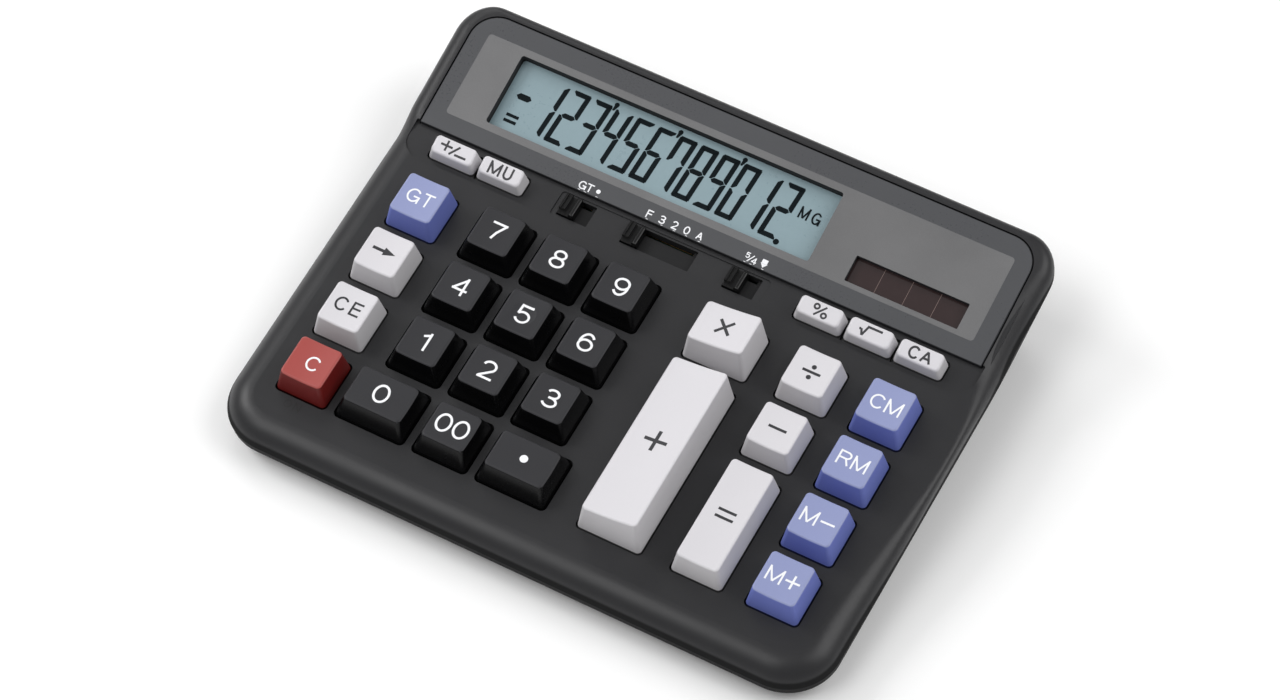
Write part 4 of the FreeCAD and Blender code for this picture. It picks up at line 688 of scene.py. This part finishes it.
# Each legend is a list of (sign, x, y, width, height, thickness) in millimetres from the middle of the
# key's top. A "dot" is round, and an "arrow" is the head of one. The signs on the plate, the display and
# the case are given in the same way, from the middle of the display's front edge or the keyboard's.
LEGENDS = {
    "double_zero": (("0", -2.37, 0.1, 4.55, 5.7, 0.68), ("0", 2.77, 0.1, 4.55, 5.7, 0.68)),
    "0": (("0", 0.0, 0.1, 4.65, 5.7, 0.68),),
    "point": (("dot", 0.26, 0.2, 2.28, 2.28, 0),),
    "clear": (("C", 0.65, -0.25, 4.1, 4.4, 0.55),),
    "clear_entry": (("C", -2.0, 0.1, 3.8, 4.3, 0.6), ("E", 2.4, 0.1, 3.0, 4.3, 0.6)),
    "grand_total": (("G", -1.85, 0, 3.9, 4.3, 0.52), ("T", 2.35, 0, 3.1, 4.3, 0.52)),
    "backspace": (("-", -1.7, 0.15, 3.7, 0.9, 0.9), ("arrow", 1.55, 0.15, 3.5, 2.5, 0)),
    "memory_plus": (("M", -2.4, 0, 4.4, 4.3, 0.52), ("+", 2.65, 0, 4.1, 4.1, 0.6)),
    "memory_minus": (("M", -2.4, 0, 4.4, 4.3, 0.52), ("-", 2.75, 0, 4.05, 0.6, 0.6)),
    "memory_recall": (("R", -2.25, 0, 3.6, 4.3, 0.52), ("M", 2.3, 0, 4.3, 4.3, 0.52)),
    "memory_clear": (("C", -2.25, -0.15, 4.0, 4.4, 0.52), ("M", 2.4, -0.15, 4.4, 4.4, 0.52)),
    "equals": (("-", 0.1, 1.05, 5.2, 0.78, 0.78), ("-", 0.1, -1.1, 5.2, 0.78, 0.78)),
    "subtract": (("-", 0.15, -0.15, 5.2, 0.78, 0.78),),
    "divide": (("-", 0.15, -0.25, 5.2, 0.78, 0.78), ("dot", 0.15, 1.4, 1.35, 1.35, 0),
               ("dot", 0.1, -1.9, 1.35, 1.35, 0)),
    "add": (("+", 0.1, 0, 6.6, 6.3, 1.0),),
    "multiply": (("x", 0, 0, 5.0, 5.0, 0.85),),
    "sign": (("+", -2.4, 0.35, 3.6, 2.9, 0.6), ("/", 0.2, -0.1, 2.9, 3.4, 0.6),
             ("-", 2.4, -1.1, 3.5, 0.6, 0.6)),
    "markup": (("M", -1.95, -0.05, 3.7, 3.5, 0.6), ("U", 2.05, -0.05, 2.75, 3.5, 0.6)),
    "percent": (("%", 0.05, -0.05, 4.6, 3.5, 0.54),),
    "root": (("root", -0.2, -0.1, 6.6, 3.2, 0.6),),
    "clear_all": (("C", -1.8, -0.05, 3.2, 3.5, 0.6), ("A", 1.75, -0.05, 3.2, 3.5, 0.6)),
}
LEGENDS["1"] = (("1", -0.15, -0.12, 2.5, 5.7, 0.68),)
for number in "23456789":
    LEGENDS[number] = ((number, 0.15, -0.12, 4.45, 5.7, 0.68),)
SWITCH_LETTERS = (("G", -35.35, 2.25), ("T", -33.15, 2.0), ("F", -14.8, 1.7), ("3", -10.93, 1.9),
                  ("2", -7.07, 1.75), ("0", -3.43, 1.75), ("A", 0.48, 1.85))
SWITCH_SIGNS = (("dot", -30.55, 1.85, 1.25, 1.25, 0), ("5", 14.85, 2.4, 1.25, 1.7, 0.3),
                ("/", 15.95, 1.8, 1.7, 2.5, 0.3), ("4", 17.1, 1.5, 1.5, 1.9, 0.3),
                ("-", 19.9, 2.55, 0.75, 1.2, 1.2))
SWITCH_ARROW = (19.9, 1.6, 1.2, 0.85)
SWITCH_TICK = (0.32, 0.65, 0.14, 0.14)
SWITCH_TICKS = (-35.8, -33.9, -30.3, -14.9, -10.4, -6.6, -2.9, 1.0, 14.8, 16.6, 20.2)
DISPLAY_SIGNS = (("dot", 18.92, 9.95, 1.68, 1.68, 0), ("-", -63.75, 12.85, 3.8, 0.9, 0.9),
                 ("-", -63.75, 11.1, 3.8, 0.9, 0.9), ("M", 22.2, 20.45, 2.85, 3.55, 0.5),
                 ("G", 25.9, 20.3, 2.6, 3.6, 0.5))
POWER_SIGNS = (("0", -72.1, 12.9, 2.3, 2.5, 0.35), ("N", -69.2, 12.9, 2.0, 2.5, 0.35))
PRINT_STEP = 0.7
PRINT_HEIGHT = 0.02
PRINT_LAYER = 0.004


def stroke(x0, y0, x1, y1, thick, reach=0.0):
    """A straight flat bar between two points, a little longer at both ends where asked."""
    bpy.ops.mesh.primitive_plane_add(size=1, location=((x0 + x1) / 2, (y0 + y1) / 2, 0),
                                     rotation=(0, 0, math.atan2(y1 - y0, x1 - x0)))
    return added((math.hypot(x1 - x0, y1 - y0) + 2 * reach, thick, 1))


def bow(x, y, half_x, half_y, first, last, thick):
    """A flat band along an ellipse, or along part of one."""
    whole = last - first >= 360
    steps = max(6, round((last - first) / 9))
    curve = bpy.data.curves.new("bow", "CURVE")
    curve.dimensions = "3D"
    curve.twist_mode = "Z_UP"
    curve.extrude = thick / 2
    spline = curve.splines.new("POLY")
    spline.use_cyclic_u = whole
    spline.points.add(steps - 1 if whole else steps)
    for n, point in enumerate(spline.points):
        angle = math.radians(first + (last - first) * n / steps)
        point.co = (x + half_x * math.cos(angle), y + half_y * math.sin(angle), 0, 1)
        point.tilt = math.pi / 2
    thing = bpy.data.objects.new("bow", curve)
    bpy.context.scene.collection.objects.link(thing)
    alone(thing)
    bpy.ops.object.convert(target="MESH")
    return bpy.context.object


def disc(x, y, radius, sides=28):
    """A flat round dot."""
    bpy.ops.mesh.primitive_circle_add(vertices=sides, radius=radius, fill_type="NGON", location=(x, y, 0))
    return added()


def arrow_head(x, y, size_x, size_y, turn, height=0.0):
    """A flat triangle that is turned first and then stretched. Sizes are in millimetres."""
    bpy.ops.mesh.primitive_circle_add(vertices=3, radius=1, fill_type="NGON", rotation=(0, 0, turn))
    head = added()
    head.location = (x * MM, y * MM, height * MM)
    return added((size_x * MM, size_y * MM, 1))


def sign_parts(sign, x, y, width, height, thick):
    """The flat parts of one printed sign. Sizes are in millimetres."""
    if sign == "dot":
        return [disc(x * MM, y * MM, width / 2 * MM)]
    if sign == "arrow":
        return [arrow_head(x - width / 6, y, width / 1.5, height / math.sqrt(3), -math.pi / 2)]
    lines, arcs = SIGNS[sign]
    across, along = (width - thick) / 100 * MM, (height - thick) / 100 * MM
    x, y, thick = x * MM, y * MM, thick * MM
    parts = []
    for x0, y0, x1, y1 in lines:
        square = x0 == x1 or y0 == y1
        parts.append(stroke(x + x0 * across, y + y0 * along, x + x1 * across, y + y1 * along, thick,
                            thick / 2 if square else 0.0))
    for cx, cy, half_x, half_y, first, last in arcs:
        parts.append(bow(x + cx * across, y + cy * along, half_x * across, half_y * along, first, last,
                         thick))
    return parts


def printed(name, signs, bed=None):
    """Several signs as one mesh that looks up, flat or laid on a curved bed, each stroke a hair higher."""
    parts = [part for sign in signs for part in sign_parts(*sign)]
    for n, part in enumerate(parts):
        height = (PRINT_HEIGHT + n * PRINT_LAYER) * MM
        if bed:
            lay_print(part, bed, height)
        else:
            part.location.z += height
            settle(part)
    thing = merged(name, parts)
    edit(thing)
    pick(thing, "FACE", lambda face: face.normal.z < 0)
    bpy.ops.mesh.flip_normals()
    leave()
    return thing


def lay_print(part, bed, height):
    """Divide one flat stroke finely and drop it on the bed under it."""
    edit(part)
    low, high = [Vector(part.bound_box[corner]) for corner in (0, 6)]
    for axis in (0, 1):
        side = Vector((1 - axis, axis, 0))
        span = high[axis] - low[axis]
        count = int(span / (PRINT_STEP * MM))
        for n in range(1, count + 1):
            bpy.ops.mesh.select_all(action="SELECT")
            bpy.ops.mesh.bisect(plane_co=low + side * n * span / (count + 1), plane_no=side)
    leave()
    part.location.z += bed.bound_box[6][2] + MM
    settle(part)
    lay = part.modifiers.new("Lay", "SHRINKWRAP")
    lay.wrap_method = "PROJECT"
    lay.use_project_z = True
    lay.use_negative_direction = True
    lay.use_positive_direction = False
    lay.target = bed
    lay.offset = height
    alone(part)
    bpy.ops.object.modifier_apply(modifier=lay.name)


class CALCULATOR_OT_keys(bpy.types.Operator):
    """Model the key caps kind by kind, copy them to their places and print them"""

    bl_idname = "calculator.keys"
    bl_label = "Key Caps and Legends"

    def execute(self, context):
        looks = cap_looks()
        shapes = {kind: model_cap(kind) for kind in KINDS}
        panel = panel_frame()
        for name, kind, x, front in key_places():
            node, slot = "key_" + name, key_slot(name, kind)
            walls, top, skirt, ink = looks[slot]
            cap = twin(shapes[kind], "cap_" + name)
            if name == "5":
                cut_away(cap, self.finger_mark(kind))
            wear(cap, walls, top, skirt)
            mark_faces(cap, kind)
            middle = cap_shape(kind)[4] / MM
            signs = [(sign, across, along + middle, *rest) for sign, across, along, *rest in LEGENDS[name]]
            legend = printed("legend_" + name, signs, cap)
            wear(legend, ink)
            place(panel @ Matrix.Translation((x, front + KINDS[kind].depth * MM / 2, 0)), cap, legend)
            hand_over(cap, node, slot, node)
            hand_over(legend, node, slot)
        for shape in shapes.values():
            bpy.data.objects.remove(shape)
        return {"FINISHED"}

    def finger_mark(self, kind):
        """The shallow round hollow that marks the middle key for the finger."""
        base, top, half_x, half_y, middle = cap_shape(kind)
        bpy.ops.mesh.primitive_uv_sphere_add(segments=48, ring_count=40, radius=MARK_RADIUS * MM,
                                             location=(0, middle, top + MARK_LIFT * MM))
        return added((1, 1, MARK_FLATNESS))


def cap_looks():
    """The wall, top, skirt and legend finishes of the four cap colours, by slot. The white, blue and red tops
    are lighter by a painted sheen and their walls darker by painted shade; the skirt is painted shade.
    """
    sizes = bpy.context.scene.calculator_keys
    light, dark = (plastic(name.capitalize() + " print", getattr(sizes, name + "_print"), 0.5, relief=0.001,
                           mottle=mottle) for name, mottle in (("light", 0.03), ("dark", 0.05)))
    looks = {"key_black": (
        plastic("Black key side", sizes.black_side, 0.25, grain=900, relief=0.002, mottle=0.05,
                specular=0.22),
        plastic("Black key top", sizes.black_top, 0.5, grain=2600, relief=0.012, mottle=0.12,
                specular=0.3), sizes.black_side, light)}
    # Lighter top and darker side colour of one plastic: painted sheen on the top, painted shade on the walls
    for name, ink, relief, mottle in (("white", dark, 0.006, 0.03), ("blue", light, 0.006, 0.04),
                                      ("red", light, 0.008, 0.05)):
        side, top = getattr(sizes, name + "_side"), getattr(sizes, name)
        walls, roof = (plastic(name.capitalize() + " key " + part, colour, 0.42, grain=2600, relief=relief,
                               mottle=mottle) for part, colour in (("side", side), ("top", top)))
        looks["key_" + name] = walls, roof, side, ink
    # Each skirt takes its side colour darkened by a share, as painted shade in the opening's gap
    for slot, (walls, roof, side, ink) in looks.items():
        skirt = plastic(slot + " skirt", [part * SKIRT_PAINTED_SHADE for part in side], 0.8, grain=2600, relief=0.006,
                        mottle=0.05, specular=0.1)
        looks[slot] = walls, roof, skirt, ink
    return looks


def key_slot(name, kind):
    """Which of the four cap colours a key has."""
    if kind in ("number", "wide", "double"):
        return "key_black"
    if "memory" in name or name == "grand_total":
        return "key_blue"
    return "key_red" if name == "clear" else "key_white"


def mark_faces(cap, kind):
    """Give a cap's top the second finish, and the skirt below the case's surface the third, which is painted
    shade.
    """
    base, top, half_x, half_y, middle = cap_shape(kind)
    for face in cap.data.polygons:
        on_top = face.normal.z > 0.6 and face.center.z > (base + top) / 2
        face.material_index = 1 if on_top else 2 if face.center.z < base else 0


# Display, with sizes in millimetres

MARK_LINE = 1.85
# Painted shade on the plate's edges: share of the border colour they keep
EDGE_PAINTED_SHADE = 0.5
PLATE_BEVEL = 0.2
SEGMENT_GAP = 0.12
COMMA_PLACE = (1.4, 0.75)
COMMA_RADIUS = 0.72
COMMA_TAIL = (-0.35, -1.2)
MINUS_BAR = (-65.7, -61.15, 18.05, 19.9)
READOUT_LIFT = 0.03
CELL_LINE_LEVEL = -1.78


def slab(name, left, right, front, rear, low, high, rear_round, front_round, segments):
    """A flat plate with rounded upright corners."""
    thing = block(name, (left, front, low), (right, rear, high))
    half = (front + rear) / 2
    edit(thing)
    for corner, behind in ((rear_round, True), (front_round, False)):
        pick(thing, "EDGE", lambda edge: upright(edge) and (edge.verts[0].co.y > half) == behind)
        soften(corner, segments)
    leave()
    return thing


def window_tools(sizes):
    """Cutters for the display window and the solar window."""
    deep = 5 * MM
    return [slab("window_tool", *sizes.window, -deep, deep, 0.8 * MM, 0.8 * MM, 4),
            slab("solar_tool", *sizes.solar, -deep, deep, 0.3 * MM, 0.3 * MM, 2)]


class CALCULATOR_OT_plate(bpy.types.Operator):
    """Model the display plate with its windows, its printed field and the marks of the switches"""

    bl_idname = "calculator.plate"
    bl_label = "Display Plate"

    def execute(self, context):
        sizes = context.scene.calculator_display
        smoke = plastic("Smoked plate", sizes.border_colour, 0.3, grain=1500, relief=0.0005, mottle=0.03,
                        coat=0.6, coat_roughness=0.06)
        # The plate's edges take the border colour darkened, a painted shade that keeps their highlight down
        edge = plastic("Plate edge", [part * EDGE_PAINTED_SHADE for part in sizes.border_colour], 0.7, grain=1500,
                       relief=0.0005, mottle=0.03, specular=0.1)
        metal = plastic("Metallic field", sizes.field_colour, 0.45, grain=5200, relief=0.004, mottle=0.35,
                        metal=0.35, coat=0.4, coat_roughness=0.08)
        ink = plastic("Light plate print", context.scene.calculator_keys.light_print, 0.5, relief=0.001,
                      mottle=0.03)
        half = sizes.plate_width / 2
        plate = slab("plate", -half, half, 0, sizes.plate_depth, -sizes.plate_thick, 0, sizes.plate_corner,
                     0.3 * MM, 10)
        edit(plate)
        pick(plate, "EDGE", lambda edge: min(point.co.z for point in edge.verts) > -1e-6)
        soften(PLATE_BEVEL * MM, 2)
        leave()
        field = slab("plate_field", *sizes.field, -0.01 * MM, 0.02 * MM, 1 * MM, 1 * MM, 4)
        for thing in (plate, field):
            for tool in window_tools(sizes):
                cut_away(thing, tool)
        finish_shading(plate, 25)
        wear(plate, smoke, edge)
        for face in plate.data.polygons:
            face.material_index = 0 if face.normal.z > 0.99 else 1
        wear(field, metal)
        marks = self.switch_marks()
        wear(marks, ink)
        place(display_frame(), plate, field, marks)
        hand_over(plate, "case", "display_plate", "display_plate")
        hand_over(field, "case", "display_plate")
        hand_over(marks, "case", "display_plate")
        return {"FINISHED"}

    def switch_marks(self):
        """Letters and ticks along the plate's front border, one set for each switch."""
        signs = [(sign, x, MARK_LINE, width, 2.4, 0.36) for sign, x, width in SWITCH_LETTERS]
        signs += SWITCH_SIGNS
        signs += [("-", x, *SWITCH_TICK) for x in SWITCH_TICKS]
        head = arrow_head(*SWITCH_ARROW, math.pi, PRINT_HEIGHT)
        return merged("switch_marks", [printed("letters", signs), head])


# Lit segments of each digit, and each segment's cut corners as (side, level) signs
SEGMENTS = {"0": "abcdef", "1": "bc", "2": "abged", "3": "abgcd", "4": "fgbc", "5": "afgcd",
            "6": "afgedc", "7": "fabc", "8": "abcdefg", "9": "abcdfg"}
LOWER, UPPER = ((-1, -1), (1, -1)), ((-1, 1), (1, 1))
ON_LEFT, ON_RIGHT = ((-1, 1), (-1, -1)), ((1, 1), (1, -1))


def segment(left, right, low, high, corners, cut):
    """One flat display segment with some corners cut off."""
    x, y = (left + right) / 2, (low + high) / 2
    bpy.ops.mesh.primitive_plane_add(size=1, location=(x, y, 0))
    thing = added((right - left, high - low, 1))
    edit(thing)
    pick(thing, "VERT", lambda point: (1 if point.co.x > x else -1, 1 if point.co.y > y else -1) in corners)
    soften(cut, affect="VERTICES")
    leave()
    return thing


def digit_parts():
    """The seven segments of one digit about the middle of its foot."""
    sizes = bpy.context.scene.calculator_display
    half, h, t, gap = sizes.digit_width / 2, sizes.digit_height, sizes.stroke, SEGMENT_GAP * MM
    inner, bar, waist = half - t, half - gap * 2, h * sizes.waist
    upper, lower, cut = (waist + gap, h - gap * 3), (gap * 3, waist - gap), t * 0.62
    parts = {
        "a": segment(-bar, bar, h - t, h, LOWER, cut),
        "g": segment(t * 0.45 - half, half - t * 0.45, waist - t / 2, waist + t / 2, LOWER + UPPER,
                     t * 0.48),
        "d": segment(-bar, bar, 0, t, UPPER, cut),
        "f": segment(-half, -inner, *upper, ON_RIGHT, cut),
        "b": segment(inner, half, *upper, ON_LEFT, cut),
        "e": segment(-half, -inner, *lower, ON_RIGHT, cut),
        "c": segment(inner, half, *lower, ON_LEFT, cut),
    }
    lean = Matrix.Identity(4)
    lean[0][1] = math.tan(sizes.slant)
    for part in parts.values():
        part.data.transform(lean)
    return parts


class CALCULATOR_OT_readout(bpy.types.Operator):
    """Show a number on the display glass and finish the glass and the solar cells"""

    bl_idname = "calculator.readout"
    bl_label = "Display Readout"

    def execute(self, context):
        sizes = context.scene.calculator_display
        glass = plastic("Display glass", sizes.glass_colour, 0.3, grain=700, relief=0.0005, mottle=0.05,
                        coat=0.3, coat_roughness=0.05)
        lit = plastic("Lit segments", sizes.digit_colour, 0.5, grain=900, relief=0.0005, mottle=0.05,
                      specular=0.1)
        wear(NODES["lcd_glass"], glass)
        templates = digit_parts()
        shown = []
        for n, digit in enumerate("123456789012"):
            for letter in SEGMENTS[digit]:
                part = twin(templates[letter], "segment")
                part.location = (sizes.digit_left + n * sizes.digit_pitch, sizes.digit_foot, 0)
                settle(part)
                shown.append(part)
        for part in templates.values():
            bpy.data.objects.remove(part)
        shown += self.commas(sizes)
        shown.append(segment(*[part * MM for part in MINUS_BAR], LOWER + UPPER, 0.85 * MM))
        shown.append(printed("signs", DISPLAY_SIGNS))
        readout = merged("readout", shown)
        readout.location.z = READOUT_LIFT * MM - context.scene.calculator_body.glass_drop
        settle(readout)
        wear(readout, lit)
        place(display_frame(), readout)
        hand_over(readout, "case", "lcd")
        self.solar_lines(sizes)
        return {"FINISHED"}

    def commas(self, sizes):
        """The marks that part the thousands, at the top after every third digit."""
        right, above = (part * MM for part in COMMA_PLACE)
        parts = []
        y = sizes.digit_foot + sizes.digit_height + above
        for n in (2, 5, 8):
            x = sizes.digit_left + (n + 0.5) * sizes.digit_pitch + right
            drop = disc(x, y, COMMA_RADIUS * MM, 14)
            edit(drop)
            pick(drop, "VERT", lambda point: point.co.y < y - 0.5 * MM)
            bpy.ops.transform.translate(value=(COMMA_TAIL[0] * MM, COMMA_TAIL[1] * MM, 0))
            leave()
            parts.append(drop)
        return parts

    def solar_lines(self, sizes):
        """The thin lines between the solar cells."""
        cell = plastic("Solar cell", sizes.solar_colour, 0.18, grain=500, relief=0.0005, mottle=0.08,
                       coat=0.5, coat_roughness=0.05)
        line = plastic("Cell line", (0.16, 0.11, 0.1), 0.35, relief=0.0005, mottle=0.05)
        wear(NODES["solar_cell"], cell)
        left, right, front, rear = sizes.solar
        places = [left + n * (right - left) / 4 for n in (1, 2, 3)]
        lines = merged("solar_lines", [stroke(x, front, x, rear, 0.16 * MM) for x in places])
        lines.location.z = CELL_LINE_LEVEL * MM
        settle(lines)
        wear(lines, line)
        place(display_frame(), lines)
        hand_over(lines, "case", "solar")


# Parts inside: the finish's name, colour, roughness, grain, relief and metal, and the parts that have it
INSIDE = (
    ("Silicone sheet", (0.45, 0.45, 0.44), 0.6, 1500, 0.01, 0.0, ("key_membrane",)),
    ("Circuit board", (0.008, 0.035, 0.018), 0.45, 800, 0.005, 0.0, ("circuit_board",)),
    ("Black epoxy", (0.01, 0.01, 0.011), 0.3, 600, 0.01, 0.0, ("processor_blob",)),
    ("Capacitor can", (0.03, 0.05, 0.16), 0.35, 1500, 0.003, 0.0, ("capacitor",)),
    ("Pale frame", (0.6, 0.6, 0.58), 0.5, 2000, 0.01, 0.0, ("lcd_holder",)),
    ("Flat film", (0.5, 0.25, 0.08), 0.3, 900, 0.002, 0.0, ("lcd_ribbon",)),
    ("Lead cover", (0.45, 0.03, 0.03), 0.4, 900, 0.002, 0.0, ("solar_leads",)),
    ("Plated steel", (0.55, 0.55, 0.56), 0.3, 2000, 0.003, 1.0,
     ("button_cell", "battery_contacts", "board_screws", "case_screws", "contact_total", "contact_decimal",
      "contact_rounding")),
)


class CALCULATOR_OT_case(bpy.types.Operator):
    """Finish the mouldings, the switch knobs, the feet, the screws and the parts inside"""

    bl_idname = "calculator.case"
    bl_label = "Case and Small Parts"

    def execute(self, context):
        body = context.scene.calculator_body
        case = plastic("Charcoal case", body.case_colour, 0.4, grain=2000, relief=0.03, mottle=0.16,
                       specular=0.4)
        # Painted shade on the case's foot, trays and openings
        paint_foot_shade(case)
        base = plastic("Black base", body.base_colour, 0.42, grain=2400, relief=0.02, mottle=0.12,
                       specular=0.08)
        knob = plastic("Black knob", body.knob_colour, 0.3, grain=1200, relief=0.003, mottle=0.08,
                       specular=0.35)
        foot = plastic("Foot rubber", body.foot_colour, 0.75, grain=1800, relief=0.02, mottle=0.15)
        finishes = {"upper_case": case, "lower_case": base, "battery_door": base, "rubber_feet": foot,
                    "knob_total": knob, "knob_decimal": knob, "knob_rounding": knob}
        for name, colour, roughness, grain, relief, metal, nodes in INSIDE:
            finish = plastic(name, colour, roughness, grain=grain, relief=relief, metal=metal)
            finishes.update((node, finish) for node in nodes)
        for node, finish in finishes.items():
            wear(NODES[node], finish)
        self.power_mark()
        return {"FINISHED"}

    def power_mark(self):
        """The faint ON under the clear key."""
        dark = plastic("Faint print", (0.005, 0.005, 0.005), 0.5, relief=0.001, mottle=0.03)
        mark = printed("power_mark", POWER_SIGNS)
        wear(mark, dark)
        place(panel_frame(), mark)
        hand_over(mark, "case", "case")


# The camera's turns in degrees, from a view straight down on the keyboard
CAMERA_TURNS = (("Z", 28.683), ("Y", 3.089), ("X", 30.123))


class CALCULATOR_OT_stage(bpy.types.Operator):
    """Set up the pale floor, the soft studio light and the camera"""

    bl_idname = "calculator.stage"
    bl_label = "Floor, Light and Camera"

    def execute(self, context):
        stage = context.scene.calculator_stage
        bpy.ops.mesh.primitive_plane_add(size=8)
        floor = context.object
        floor.name = "floor"
        wear(floor, plastic("Pale floor", (0.97, 0.97, 0.97), 0.9, grain=40, relief=0.0, mottle=0.01))
        self.lamp("Main light", (-0.45, -0.65, 1.2), 0.8, stage.key_power)
        self.lamp("Rear light", (-0.75, 0.8, 0.8), 0.7, stage.fill_power)
        self.lamp("Low light", (-0.92, -0.05, 0.8), 0.45, stage.low_power)
        self.lamp("Side light", (0.8, 0.35, 0.9), 0.9, stage.side_power)
        self.room(stage.sky)
        camera = bpy.data.objects.new("Camera", bpy.data.cameras.new("Camera"))
        context.scene.collection.objects.link(camera)
        view = panel_frame() @ Matrix.Translation((stage.across, stage.along, stage.above))
        for axis, degrees in CAMERA_TURNS:
            view = view @ Matrix.Rotation(math.radians(degrees), 4, axis)
        camera.matrix_world = view
        camera.data.lens = stage.lens
        camera.data.sensor_width = 36
        camera.data.clip_start = 0.1
        camera.data.clip_end = 20
        context.scene.camera = camera
        context.scene.view_settings.view_transform = "Standard"
        return {"FINISHED"}

    def lamp(self, name, where, size, power):
        """A large soft lamp that faces the calculator."""
        light = bpy.data.objects.new(name, bpy.data.lights.new(name, "AREA"))
        light.data.size = size
        light.data.energy = power
        light.location = where
        light.rotation_euler = (-Vector(where)).to_track_quat("-Z", "Y").to_euler()
        bpy.context.scene.collection.objects.link(light)

    def room(self, strength):
        """Even light from all round."""
        world = bpy.data.worlds.new("Room")
        bpy.context.scene.world = world
        world.use_nodes = True
        sky = world.node_tree.nodes["Background"]
        sky.inputs["Color"].default_value = (1, 1, 1, 1)
        sky.inputs["Strength"].default_value = strength


STEPS = (CALCULATOR_OT_case, CALCULATOR_OT_plate, CALCULATOR_OT_readout, CALCULATOR_OT_keys,
         CALCULATOR_OT_stage)


class CALCULATOR_PT_panel(bpy.types.Panel):
    """Lists the steps that build the calculator."""

    bl_label = "Desktop Calculator"
    bl_idname = "CALCULATOR_PT_panel"
    bl_space_type = "VIEW_3D"
    bl_region_type = "UI"
    bl_category = "Calculator"

    def draw(self, context):
        for step in STEPS:
            self.layout.operator(step.bl_idname)


def register():
    for group in GROUPS.values():
        bpy.utils.register_class(group)
    for name, group in GROUPS.items():
        setattr(bpy.types.Scene, name, PointerProperty(type=group))
    for step in (*STEPS, CALCULATOR_PT_panel):
        bpy.utils.register_class(step)


def unregister():
    for step in (*STEPS, CALCULATOR_PT_panel):
        bpy.utils.unregister_class(step)
    for name, group in GROUPS.items():
        delattr(bpy.types.Scene, name)
        bpy.utils.unregister_class(group)


def main():
    """Build everything in order."""
    register()
    bpy.ops.calculator.case()
    bpy.ops.calculator.plate()
    bpy.ops.calculator.readout()
    bpy.ops.calculator.keys()
    bpy.ops.calculator.stage()


if __name__ == "__main__":
    main()
